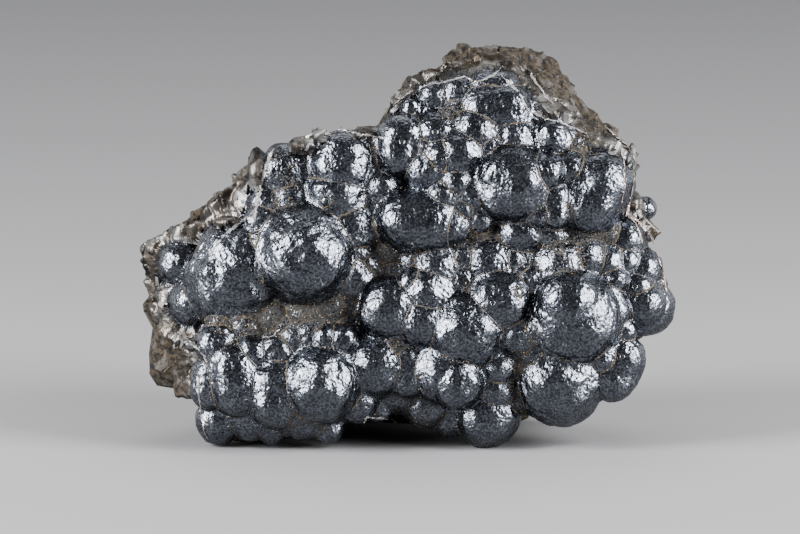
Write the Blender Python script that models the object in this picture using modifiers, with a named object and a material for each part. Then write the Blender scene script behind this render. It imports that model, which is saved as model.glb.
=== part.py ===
"""A goethite specimen: a broken piece of botryoidal crust on its rough matrix.

The lump grew as one piece. Round bubbles of fibrous goethite meet in creases
over the front, and the crust is snapped off along the left end, the top, the
right edge and the whole back, where it shows angular facets and crumbly rock.

Frame: metres, +Z up, the lump stands on Z = 0 and its bubbly face looks along -Y.
"""

import itertools
import math
import random

import bmesh
import bpy
import numpy as np
from mathutils import Euler, Vector
from mathutils.kdtree import KDTree

NODE = "goethite"
MM = 0.001

LEAN = math.radians(10)
STAND = 2.7
MIDDLE_DEPTH = 28.85
GROUND_BLOCK = 300.0
SEED = 23

GRAIN = 0.6
BUDGET = 9700
BALL_STEPS = 3
ROCK_THINNING = 1.0
BUBBLE_THINNING = 0.7

SKIN_COLOUR = (0.035, 0.04, 0.047, 1.0)
SKIN_ROUGHNESS = 0.32
SKIN_METALLIC = 0.85

# Each bubble is (across, up, radius, depth of its front), in millimetres, seen square on. A longer one
# grew from a short line of nuclei, and adds half of that line as (across, up).
BUBBLES = {
    "left shoulder": [
        (-45.0, 36.5, 4.2, 15.0), (-42.0, 28.8, 5.0, 13.2), (-33.2, 34.2, 9.2, 6.0, 0.7, 1.2),
        (-19.8, 38.0, 9.7, 1.0), (-28.6, 44.8, 2.8, 8.0), (-28.2, 40.2, 2.6, 7.0), (-27.6, 35.6, 2.8, 5.8),
    ],
    "upper left": [
        (-23.5, 54.8, 5.8, 9.0), (-27.2, 48.2, 3.4, 9.6), (-22.4, 49.0, 3.4, 8.8), (-12.2, 55.8, 7.2, 6.0),
        (-13.4, 50.0, 5.8, 6.2), (-10.5, 43.4, 4.8, 6.6), (-11.0, 33.6, 4.8, 6.8), (-11.6, 28.6, 3.2, 8.0),
        (-12.2, 24.6, 2.0, 8.0), (-4.2, 51.4, 3.8, 8.0), (-6.2, 48.4, 2.8, 9.0), (-7.2, 36.6, 1.8, 8.6),
        (-5.6, 34.2, 1.6, 9.6), (-9.4, 38.6, 2.4, 8.0),
    ],
    "lower left": [
        (-38.8, 12.6, 3.0, 7.6, 0.0, 1.6), (-33.4, 13.6, 4.6, 4.4, -0.4, 2.2), (-37.2, 20.2, 3.6, 6.4),
        (-30.4, 18.6, 3.0, 5.4), (-25.4, 18.8, 3.4, 5.6), (-25.6, 10.8, 4.6, 3.6, 0.0, 1.8),
        (-16.6, 12.6, 7.2, 0.8), (-18.6, 22.0, 3.4, 5.6), (-15.6, 21.4, 2.4, 4.6), (-12.2, 21.2, 2.6, 4.4),
        (-21.8, 21.6, 2.6, 6.0), (-23.8, 24.0, 2.0, 7.2), (-5.8, 16.2, 5.6, 4.4), (-9.6, 9.0, 4.6, 7.4),
        (-30.4, 6.6, 5.6, 8.2), (-37.0, 5.0, 4.6, 10.4), (-26.4, 4.4, 4.0, 9.6),
        (-20.2, 6.6, 5.2, 7.0, 0.8, 0.0), (-22.0, 7.6, 3.2, 5.6), (-15.4, 4.0, 3.6, 9.4),
    ],
    "crown": [
        (-0.4, 59.8, 4.4, 6.0, 0.2, 1.4), (6.4, 62.6, 3.6, 6.4), (4.2, 59.6, 1.9, 6.8),
        (11.0, 58.2, 4.4, 4.4), (7.4, 57.8, 2.8, 4.8), (4.8, 55.0, 3.9, 5.4), (14.4, 62.8, 4.2, 5.8),
        (18.6, 67.2, 4.4, 6.8, 2.2, -0.2), (17.6, 71.2, 3.0, 9.4, 1.6, 0.0), (6.0, 69.8, 3.2, 10.0),
        (11.2, 70.4, 3.2, 9.6), (10.8, 67.0, 2.0, 9.0), (9.4, 65.4, 1.8, 8.4), (21.8, 61.4, 3.8, 6.6),
        (16.8, 59.2, 3.0, 6.4), (29.6, 61.4, 4.4, 7.0), (21.8, 52.2, 7.6, 1.5), (28.2, 54.6, 3.2, 3.2),
        (26.8, 46.4, 2.6, 4.6), (30.0, 47.8, 2.4, 4.6, 0.0, 1.8), (37.8, 50.4, 6.2, 4.6, 1.0, 1.7),
        (33.0, 55.2, 3.2, 5.8), (33.0, 47.4, 1.8, 5.6), (23.4, 42.4, 3.4, 5.6, 0.8, 0.0),
        (29.0, 42.2, 2.8, 6.2), (14.9, 45.2, 2.6, 5.8), (10.6, 52.4, 2.8, 5.0), (13.4, 50.2, 3.0, 5.2),
        (7.8, 49.8, 2.6, 5.0), (11.8, 47.4, 2.6, 5.6), (3.0, 44.8, 5.6, 3.6, 2.4, -0.2),
        (9.4, 43.8, 3.4, 4.6),
    ],
    "middle": [
        (-2.8, 27.2, 6.2, 3.6), (4.8, 30.6, 4.6, 3.6), (3.6, 24.8, 4.6, 3.4), (1.6, 32.8, 2.4, 5.0),
        (12.4, 23.2, 7.4, 1.6), (19.0, 29.0, 6.0, 2.4), (22.6, 22.0, 3.8, 4.6), (26.0, 23.0, 2.4, 4.6),
        (25.8, 18.8, 2.6, 6.0), (10.6, 12.9, 4.6, 3.0), (7.6, 15.0, 5.4, 4.0),
        (0.6, 15.6, 3.2, 6.4, 0.0, 2.0), (18.6, 15.6, 3.0, 5.8), (18.2, 11.2, 3.2, 6.8),
        (16.8, 6.3, 6.6, 7.6), (6.6, 35.8, 4.4, 5.2), (11.8, 37.6, 2.8, 6.4), (11.8, 33.2, 2.8, 6.0),
        (17.2, 37.0, 4.4, 5.2), (21.8, 37.0, 2.2, 6.4), (23.8, 37.8, 2.2, 7.4), (25.2, 33.0, 2.8, 5.6),
        (23.6, 34.8, 1.6, 6.4), (1.6, 37.0, 2.2, 7.6), (4.2, 8.2, 4.8, 10.0), (-5.0, 7.6, 3.0, 11.0),
        (9.2, 5.6, 4.0, 12.0), (-1.0, 11.6, 4.2, 9.4), (-2.4, 35.6, 3.0, 9.4),
    ],
    "right": [
        (33.6, 25.6, 9.3, 1.2), (32.8, 28.0, 6.4, 0.3), (31.0, 36.4, 4.6, 5.0), (36.4, 37.6, 3.6, 6.8),
        (40.4, 36.6, 3.4, 8.4), (35.0, 41.6, 3.4, 8.0), (30.8, 13.4, 9.4, 4.6),
        (42.6, 15.6, 4.8, 7.6, 0.9, 1.8), (39.4, 17.8, 3.0, 6.8), (48.0, 28.0, 6.0, 11.0),
        (47.8, 28.4, 3.8, 9.2), (46.6, 31.6, 2.6, 9.6), (47.4, 35.2, 3.6, 10.8), (50.2, 32.4, 2.6, 13.6),
        (44.2, 36.8, 2.6, 9.8), (44.0, 41.2, 3.6, 10.4), (42.0, 33.0, 2.2, 7.8),
        (41.6, 28.6, 2.2, 7.4, -0.9, 1.7), (43.6, 23.0, 2.2, 8.6), (48.2, 47.6, 2.4, 17.0),
    ],
}

# Each block of matrix is the hull of a few corners, (across, up, depth) in millimetres.
BLOCKS = {
    "heart": [
        (-44.0, 14.0, 20.0), (-46.0, 34.0, 20.0), (-36.0, 40.0, 14.0), (-24.0, 55.0, 13.0),
        (-6.0, 59.0, 12.0), (6.0, 66.0, 14.0), (36.0, 62.0, 14.0), (44.0, 50.0, 14.5), (46.0, 36.0, 15.0),
        (45.0, 18.0, 15.0), (30.0, 9.0, 14.0), (-30.0, 9.0, 14.0), (-36.0, 22.0, 13.0),
        (-18.0, 22.0, 10.6), (0.0, 34.0, 10.8), (24.0, 38.0, 10.8), (12.0, 40.0, 10.8),
        (-40.0, 16.0, 38.0), (-40.0, 36.0, 38.0), (-22.0, 50.0, 42.0), (4.0, 60.0, 43.0),
        (32.0, 60.0, 41.0), (42.0, 46.0, 38.0), (44.0, 26.0, 38.0), (34.0, 12.0, 40.0), (0.0, 36.0, 48.0),
        (-20.0, 18.0, 46.0), (20.0, 16.0, 46.0),
    ],
    "crown": [
        (-3.0, 64.0, 10.5), (-0.4, 66.4, 11.0), (4.0, 71.6, 13.0), (9.0, 74.0, 13.6), (14.4, 74.4, 13.0),
        (20.0, 74.2, 12.0), (24.6, 69.8, 10.4), (29.4, 65.8, 9.6), (36.0, 62.6, 9.6), (43.4, 59.2, 10.4),
        (44.8, 47.2, 12.4), (36.0, 43.0, 10.5), (24.0, 42.0, 9.6), (8.0, 43.0, 9.6), (-3.0, 50.0, 11.0),
        (-4.2, 66.8, 14.0), (-0.8, 70.2, 16.0), (5.2, 76.0, 18.5), (8.2, 78.2, 20.0), (15.2, 79.8, 22.0),
        (21.2, 81.0, 24.0), (28.2, 78.6, 24.0), (34.2, 71.6, 23.0), (39.2, 67.6, 20.0),
        (45.2, 59.2, 15.0), (45.8, 50.2, 16.0), (45.2, 48.0, 25.0), (2.0, 65.0, 34.0), (12.0, 73.0, 36.0),
        (24.0, 75.0, 36.0), (34.0, 66.0, 36.0), (4.0, 52.0, 43.0), (34.0, 52.0, 42.0),
    ],
    "left arm": [
        (-45.4, 39.8, 17.0), (-37.8, 42.0, 14.0), (-30.8, 46.2, 11.6), (-26.4, 58.6, 12.0),
        (-18.4, 60.6, 10.5), (-4.6, 61.4, 10.6), (-5.0, 48.0, 11.0), (-10.0, 31.0, 10.6),
        (-28.0, 26.0, 10.6), (-36.0, 24.0, 13.0), (-44.6, 29.0, 18.0), (-48.6, 42.0, 19.0),
        (-39.8, 45.6, 22.0), (-30.8, 52.4, 21.0), (-23.8, 60.6, 17.0), (-14.8, 63.2, 15.0),
        (-8.8, 63.6, 15.0), (-4.2, 65.6, 15.5), (-46.0, 38.0, 31.0), (-37.0, 42.0, 36.0),
        (-22.0, 54.0, 36.0),
    ],
    "lower body": [
        (-39.0, 18.0, 15.0), (-36.0, 9.0, 14.0), (-30.0, 21.0, 9.6), (-18.0, 23.0, 9.0),
        (-6.0, 19.0, 9.4), (-10.0, 6.0, 13.0), (-30.0, 4.6, 14.0), (-4.0, 32.0, 9.2), (8.0, 37.0, 9.6),
        (22.0, 38.0, 9.6), (40.0, 38.0, 11.0), (46.0, 36.0, 14.5), (47.0, 27.0, 14.0), (42.0, 17.0, 12.5),
        (30.0, 8.0, 10.0), (17.0, 7.0, 11.5), (4.0, 6.6, 13.5), (-4.0, 6.4, 14.5), (-46.0, 12.0, 27.0),
        (-40.0, 6.0, 22.0), (44.0, 16.0, 20.0), (50.0, 24.0, 22.0), (50.4, 38.0, 20.0),
        (49.2, 43.6, 19.0), (47.0, 40.0, 32.0), (48.0, 28.0, 34.0), (40.0, 14.0, 34.0),
        (-43.0, 14.0, 34.0),
    ],
    "left foot": [
        (-37.0, 10.0, 22.0), (-33.0, -1.0, 21.0), (-20.0, -1.0, 24.0), (-16.0, 8.0, 22.0),
        (-36.0, 1.0, 36.0), (-38.0, 18.0, 40.0), (-16.0, 1.0, 40.0), (-14.0, 20.0, 44.0),
        (-38.0, 18.0, 26.0),
    ],
    "back foot": [
        (-30.0, 22.0, 34.0), (-26.0, 2.0, 38.0), (16.0, 2.0, 38.0), (25.0, 3.0, 40.0), (34.0, 20.0, 34.0),
        (-30.0, 24.0, 46.0), (32.0, 24.0, 45.0), (23.0, 3.0, 44.0), (-26.0, 3.0, 44.0),
    ],
    "broken end": [
        (-52.6, 41.0, 22.0), (-49.0, 42.2, 19.0), (-45.4, 41.6, 17.0), (-45.4, 39.6, 16.5),
        (-48.4, 36.8, 18.6), (-52.8, 38.0, 23.0), (-53.2, 34.0, 24.0), (-48.0, 35.0, 30.0),
        (-44.0, 40.0, 31.0), (-38.0, 36.0, 30.0),
    ],
    "end splinters": [
        (-50.0, 37.0, 20.0), (-48.0, 36.6, 17.8), (-47.4, 27.6, 17.4), (-49.4, 28.0, 20.5),
        (-53.0, 35.0, 24.0), (-52.6, 29.4, 25.0), (-47.0, 30.0, 33.0), (-38.0, 28.0, 34.0),
    ],
    "end facets": [
        (-47.4, 28.0, 19.0), (-46.6, 23.6, 18.4), (-40.8, 17.4, 16.0), (-40.6, 13.0, 16.5),
        (-41.6, 9.4, 17.5), (-46.4, 18.6, 22.0), (-48.0, 16.0, 22.0), (-50.8, 21.0, 25.0),
        (-51.0, 15.0, 26.0), (-50.4, 12.4, 26.5), (-47.6, 10.6, 25.0), (-41.0, 8.6, 19.0),
        (-52.4, 29.4, 25.5), (-46.0, 14.0, 34.0), (-47.0, 26.0, 34.0), (-36.0, 12.0, 36.0),
        (-36.0, 28.0, 40.0),
    ],
    "end lens": [
        (-45.6, 23.2, 17.6), (-44.8, 22.6, 16.6), (-40.8, 20.0, 14.8), (-38.6, 17.4, 13.4),
        (-39.6, 16.8, 14.2), (-41.6, 19.2, 17.2), (-40.0, 24.0, 18.0),
    ],
    "lower left lip": [
        (-40.8, 15.0, 15.4), (-41.0, 8.4, 16.0), (-40.4, 3.6, 16.6), (-39.2, 1.2, 16.2),
        (-38.8, 4.0, 13.8), (-40.0, 10.0, 13.2), (-40.2, 14.6, 12.8), (-36.0, 6.0, 20.0),
        (-37.0, 14.0, 20.0),
    ],
    "left shard": [
        (-26.2, 59.0, 10.6), (-27.8, 55.6, 10.4), (-28.6, 50.0, 10.4), (-29.8, 45.8, 10.6),
        (-30.8, 51.0, 14.0), (-28.0, 57.0, 13.0), (-26.0, 58.0, 16.0), (-28.0, 48.0, 17.0),
    ],
    "upper ledge": [
        (-18.4, 61.0, 10.0), (-16.4, 63.0, 9.8), (-14.8, 63.4, 9.8), (-8.8, 62.6, 9.2), (-4.2, 61.8, 9.2),
        (-4.6, 60.2, 9.8), (-16.0, 60.4, 10.4), (-14.0, 62.0, 16.0), (-6.0, 62.0, 16.0),
    ],
    "right lip": [
        (43.0, 60.0, 11.0), (45.6, 59.4, 13.5), (45.8, 50.2, 14.0), (44.4, 46.8, 11.0), (43.4, 52.0, 9.0),
        (43.0, 58.0, 10.0), (40.0, 50.0, 18.0),
    ],
    "right rim": [
        (44.8, 46.6, 12.0), (49.4, 44.0, 15.6), (51.0, 40.0, 16.6), (52.2, 35.0, 17.4),
        (50.0, 34.0, 14.6), (46.6, 42.4, 12.8), (44.0, 38.0, 20.0), (47.4, 47.4, 20.0),
        (46.0, 46.0, 25.0), (45.4, 48.8, 16.0), (44.0, 49.0, 21.0),
    ],
}

# Angular chunks follow each broken edge: (corners of the edge, chunks, size) in millimetres.
BROKEN_EDGES = [
    ([(-3.0, 64.0, 12.5), (4.0, 72.0, 15.0), (12.0, 75.0, 16.5), (21.0, 76.0, 18.0)], 13, 4.4),
    ([(22.0, 77.0, 22.0), (30.0, 72.0, 20.0), (36.0, 64.0, 16.0), (42.6, 58.0, 15.0)], 9, 4.2),
    ([(-46.0, 39.6, 20.0), (-36.0, 44.6, 19.0), (-26.0, 54.6, 17.0), (-12.0, 60.6, 15.0)], 12, 4.8),
    ([(-48.6, 37.0, 22.0), (-49.0, 30.0, 24.0), (-46.4, 20.0, 23.0), (-43.0, 13.0, 21.0)], 10, 4.8),
]
CHUNK_SPREAD = 0.3
CHUNK_SIZES = (0.7, 1.2)
CHUNK_SIDES = (0.6, 1.0)
CORNER_JITTER = 0.22

# The back has bigger chunks, kept under the outline: (across, highest) of each stretch.
BACK_CHUNKS = 22
BACK_CHUNK_SIZE = 11.0
BACK_REACH = (-36.0, 38.0)
BACK_DEPTHS = (37.0, 40.5)
BACK_LOWEST = 14.0
BACK_TOPS = [(-22.0, 34.0), (-2.0, 50.0), (38.0, 53.0)]

FACET_SPACING = 6.5
FACET_TILT = 0.42
FACET_STEP = 0.5
FACET_LIMIT = 1.5
FACET_START = (0.3, 1.5)
FACET_DEPTHS = (10.5, 16.0)
FRONT_SHARE = 0.2


def place(across, up, deep):
    """A point of the leaning lump in metres, from its place in the square front view."""
    back = up * math.sin(LEAN) + deep * math.cos(LEAN) - MIDDLE_DEPTH
    height = up * math.cos(LEAN) - deep * math.sin(LEAN) + STAND
    return Vector((across, back, height)) * MM


def hull(points):
    """A closed convex mesh around some points."""
    bm = bmesh.new()
    for point in points:
        bm.verts.new(point)
    found = bmesh.ops.convex_hull(bm, input=bm.verts)
    inside = [item for item in found["geom_interior"] if isinstance(item, bmesh.types.BMVert)]
    bmesh.ops.delete(bm, geom=inside, context="VERTS")
    bmesh.ops.recalc_face_normals(bm, faces=bm.faces)
    return bm


def chunk(centre, size, dice):
    """An angular piece of rock: a turned block with its corners knocked about."""
    turn = Euler([dice.uniform(0, math.pi) for _ in range(3)]).to_matrix()
    half = [size * MM / 2 * dice.uniform(*CHUNK_SIDES) for _ in range(3)]
    points = []
    for signs in itertools.product((-1, 1), repeat=3):
        knocks = [1 + dice.uniform(-CORNER_JITTER, CORNER_JITTER) for _ in range(3)]
        corner = Vector([sign * side * knock for sign, side, knock in zip(signs, half, knocks)])
        points.append(centre + turn @ corner)
    return hull(points)


def add_to(whole, bm):
    """Copy one small mesh into the growing one."""
    mesh = bpy.data.meshes.new("passing")
    bm.to_mesh(mesh)
    bm.free()
    whole.from_mesh(mesh)
    bpy.data.meshes.remove(mesh)


def nuclei():
    """The radius of every bubble, with the middle and the half of its line of nuclei."""
    for rows in BUBBLES.values():
        for across, up, radius, front, *run in rows:
            middle = place(across, up, front + radius)
            run_across, run_up = run or (0.0, 0.0)
            half = place(across + run_across, up + run_up, front + radius) - middle
            yield radius * MM, middle, half


def bubble(radius, middle, half):
    """A ball, or the hull of the two end balls where the nuclei lie in a line."""
    bm = bmesh.new()
    bmesh.ops.create_icosphere(bm, subdivisions=BALL_STEPS, radius=radius)
    if half.length:
        points = [vert.co + middle + half * side for vert in bm.verts for side in (-1, 1)]
        bm.free()
        return hull(points)
    bmesh.ops.translate(bm, verts=bm.verts, vec=middle)
    return bm


def add_bubbles(whole):
    for radius, middle, half in nuclei():
        add_to(whole, bubble(radius, middle, half))


def add_blocks(whole):
    for corners in BLOCKS.values():
        add_to(whole, hull([place(*corner) for corner in corners]))


def along(corners, share):
    """A point that lies at a share of the way along a line of corners."""
    spot = share * (len(corners) - 1)
    step = min(int(spot), len(corners) - 2)
    return place(*corners[step]).lerp(place(*corners[step + 1]), spot - step)


def add_chunks(whole, dice):
    for corners, count, size in BROKEN_EDGES:
        for number in range(count):
            centre = along(corners, (number + 0.5) / count)
            shift = Vector((dice.uniform(-1, 1), dice.uniform(-0.5, 1.5), dice.uniform(-1, 0.4)))
            centre += shift * size * CHUNK_SPREAD * MM
            add_to(whole, chunk(centre, size * dice.uniform(*CHUNK_SIZES), dice))


def add_back(whole, dice):
    """Rough rock over the back, thrown inside the outline of the lump."""
    for _ in range(BACK_CHUNKS):
        across = dice.uniform(*BACK_REACH)
        top = next(highest for reach, highest in BACK_TOPS if across <= reach)
        centre = place(across, dice.uniform(BACK_LOWEST, top), dice.uniform(*BACK_DEPTHS))
        add_to(whole, chunk(centre, BACK_CHUNK_SIZE * dice.uniform(*CHUNK_SIZES), dice))


def smooth_step(low, high, value):
    share = np.clip((value - low) / (high - low), 0, 1)
    return share * share * (3 - 2 * share)


def gap_to_bubbles(points):
    """How far each point lies outside the nearest bubble."""
    gap = np.full(len(points), np.inf)
    for radius, middle, half in nuclei():
        spoke = points - np.array(middle)
        if half.length:
            share = np.clip(spoke @ np.array(half) / half.length_squared, -1, 1)
            spoke = spoke - share[:, None] * np.array(half)
        gap = np.minimum(gap, np.linalg.norm(spoke, axis=1) - radius)
    return gap


def depth_of(points):
    """How deep each point lies behind the square front view."""
    back = points[:, 1] + MIDDLE_DEPTH * MM
    height = points[:, 2] - STAND * MM
    return back * math.cos(LEAN) - height * math.sin(LEAN)


def facet_seeds(low, high, dice):
    """Random points through a box, each with the tilt and the step of its own flat."""
    spacing = FACET_SPACING * MM
    count = int(np.prod(np.array(high) - np.array(low)) / spacing**3)
    tree = KDTree(count)
    flats = []
    for number in range(count):
        tree.insert([dice.uniform(a, b) for a, b in zip(low, high)], number)
        tilt = Vector([dice.uniform(-1, 1) for _ in range(3)]).normalized() * FACET_TILT
        flats.append((tilt, dice.uniform(-1, 1) * FACET_STEP * MM))
    tree.balance()
    return tree, flats


def break_rock(mesh, dice):
    """Where no bubble covers it, the rock breaks into flats that tilt and step."""
    count = len(mesh.vertices)
    points = np.empty(count * 3)
    normals = np.empty(count * 3)
    mesh.vertices.foreach_get("co", points)
    mesh.vertices.foreach_get("normal", normals)
    points = points.reshape(-1, 3)
    normals = normals.reshape(-1, 3)
    bare = smooth_step(FACET_START[0] * MM, FACET_START[1] * MM, gap_to_bubbles(points))
    behind = smooth_step(FACET_DEPTHS[0] * MM, FACET_DEPTHS[1] * MM, depth_of(points))
    share = bare * (FRONT_SHARE + (1 - FRONT_SHARE) * behind)
    tree, flats = facet_seeds(points.min(axis=0), points.max(axis=0), dice)
    limit = FACET_LIMIT * MM
    lift = np.zeros(count)
    for index in np.nonzero(share)[0]:
        seed, number, _ = tree.find(points[index])
        tilt, step = flats[number]
        lift[index] = min(max((Vector(points[index]) - seed).dot(tilt), -limit), limit) + step
    points += normals * (lift * share)[:, None]
    mesh.vertices.foreach_set("co", points.ravel())
    mesh.update()


def largest_shell(mesh):
    """Keep the biggest connected shell and drop any bubble of air shut inside it."""
    bm = bmesh.new()
    bm.from_mesh(mesh)
    seen = set()
    shells = []
    for start in bm.verts:
        if start in seen:
            continue
        shell = {start}
        edge_of_search = [start]
        while edge_of_search:
            vert = edge_of_search.pop()
            for edge in vert.link_edges:
                other = edge.other_vert(vert)
                if other not in shell:
                    shell.add(other)
                    edge_of_search.append(other)
        seen |= shell
        shells.append(shell)
    shells.sort(key=len)
    for shell in shells[:-1]:
        bmesh.ops.delete(bm, geom=list(shell), context="VERTS")
    bm.to_mesh(mesh)
    bm.free()


def spare_bubbles(thing):
    """Weigh the rock, so that thinning takes more triangles from it than from the bubbles."""
    points = np.empty(len(thing.data.vertices) * 3)
    thing.data.vertices.foreach_get("co", points)
    rock = gap_to_bubbles(points.reshape(-1, 3)) > FACET_START[1] * MM
    group = thing.vertex_groups.new(name="rock")
    group.add(np.nonzero(rock)[0].tolist(), 1.0, "REPLACE")
    group.add(np.nonzero(~rock)[0].tolist(), BUBBLE_THINNING, "REPLACE")


def skin():
    material = bpy.data.materials.new("metallic black skin")
    material.use_nodes = True
    shader = material.node_tree.nodes["Principled BSDF"]
    shader.inputs["Base Color"].default_value = SKIN_COLOUR
    shader.inputs["Roughness"].default_value = SKIN_ROUGHNESS
    shader.inputs["Metallic"].default_value = SKIN_METALLIC
    return material


def collection(name):
    group = bpy.data.collections.new(name)
    bpy.context.scene.collection.children.link(group)
    return group


def cutter(name, group):
    """An object that only cuts: drawn as wires and never rendered."""
    cut = bpy.data.objects.new(name, bpy.data.meshes.new(name))
    cut.display_type = "WIRE"
    cut.hide_render = True
    group.objects.link(cut)
    return cut


def ground_cutter(group):
    """Everything below Z = 0, so that the lump stands on true flats."""
    cut = cutter("ground_cutter", group)
    bm = bmesh.new()
    bmesh.ops.create_cube(bm, size=GROUND_BLOCK * MM)
    bmesh.ops.translate(bm, verts=bm.verts, vec=(0, 0, -GROUND_BLOCK * MM / 2))
    bm.to_mesh(cut.data)
    bm.free()
    return cut


def cut_away(thing, cut):
    step = thing.modifiers.new(cut.name, "BOOLEAN")
    step.operation = "DIFFERENCE"
    step.object = cut


def evaluated_mesh(thing):
    bpy.context.view_layer.update()
    graph = bpy.context.evaluated_depsgraph_get()
    return bpy.data.meshes.new_from_object(thing.evaluated_get(graph))


def main():
    for thing in list(bpy.data.objects):
        bpy.data.objects.remove(thing)
    parts = collection("goethite specimen")
    cutters = collection("cutters")
    dice = random.Random(SEED)

    whole = bmesh.new()
    add_bubbles(whole)
    add_blocks(whole)
    add_chunks(whole, dice)
    add_back(whole, dice)
    lump = bpy.data.objects.new(NODE, bpy.data.meshes.new(NODE))
    whole.to_mesh(lump.data)
    whole.free()
    lump.data.materials.append(skin())
    parts.objects.link(lump)

    fuse = lump.modifiers.new("fuse", "REMESH")
    fuse.mode = "VOXEL"
    fuse.voxel_size = GRAIN * MM
    fuse.use_smooth_shade = True
    fused = evaluated_mesh(lump)
    lump.modifiers.remove(fuse)
    largest_shell(fused)
    break_rock(fused, dice)
    lump.data = fused

    spare_bubbles(lump)
    thin = lump.modifiers.new("thin", "DECIMATE")
    thin.vertex_group = "rock"
    thin.vertex_group_factor = ROCK_THINNING
    fused.calc_loop_triangles()
    thin.ratio = BUDGET / len(fused.loop_triangles)
    cut_away(lump, ground_cutter(cutters))
    print("fused faces", len(fused.loop_triangles))


main()
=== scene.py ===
# %% [markdown]
# # A goethite specimen
# The CAD part is a clean but coarse solid of one broken lump. On the real one, the front is a crust of
# round metallic bubbles, each grown outwards from its own nucleus, and the rims and the back are broken
# rock. This script loads the solid as a fixed frame and grows the fine skin over it.

# %% Load the frame
import math

import bmesh
import bpy
from mathutils import Matrix, Vector


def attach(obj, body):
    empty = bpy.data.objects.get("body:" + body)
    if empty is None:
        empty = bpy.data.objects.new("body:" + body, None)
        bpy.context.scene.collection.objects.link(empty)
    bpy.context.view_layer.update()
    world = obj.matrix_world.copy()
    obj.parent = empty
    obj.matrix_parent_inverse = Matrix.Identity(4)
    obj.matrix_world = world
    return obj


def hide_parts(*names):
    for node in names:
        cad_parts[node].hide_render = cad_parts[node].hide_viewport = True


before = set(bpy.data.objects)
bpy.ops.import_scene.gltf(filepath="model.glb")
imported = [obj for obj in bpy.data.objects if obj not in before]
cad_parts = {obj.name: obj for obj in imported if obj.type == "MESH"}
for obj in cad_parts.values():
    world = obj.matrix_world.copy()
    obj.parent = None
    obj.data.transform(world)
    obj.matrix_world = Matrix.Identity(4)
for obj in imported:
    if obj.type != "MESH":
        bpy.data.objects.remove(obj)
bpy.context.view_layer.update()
MM = 0.001
print("frame nodes:", sorted(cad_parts))

# %% [markdown]
# ## Where things are
# The lump leans back a little from the camera, so its front is easiest to measure square on:
# millimetres across, millimetres up and millimetres deep behind the foremost bubble. One function
# turns that into the model's own metres, and the CAD solid was built with the same one.

# %% Square front view
LEAN = math.radians(10)
STAND = 2.7
MIDDLE_DEPTH = 28.85
LOOK = Vector((0, math.cos(LEAN), -math.sin(LEAN)))


def place(across, up, deep):
    back = up * math.sin(LEAN) + deep * math.cos(LEAN) - MIDDLE_DEPTH
    height = up * math.cos(LEAN) - deep * math.sin(LEAN) + STAND
    return Vector((across, back, height)) * MM


# %% [markdown]
# ## The nuclei
# Goethite needles grow outwards from a nucleus at the same speed in every direction, which gives a ball.
# Where two balls meet, both stop, and a crease is left. So the whole front follows from a list of
# nuclei: across, up, radius, and the depth of the ball's front. Some bubbles grew from a short line of
# nuclei, and the last two numbers are half of that line, across and up.

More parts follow.
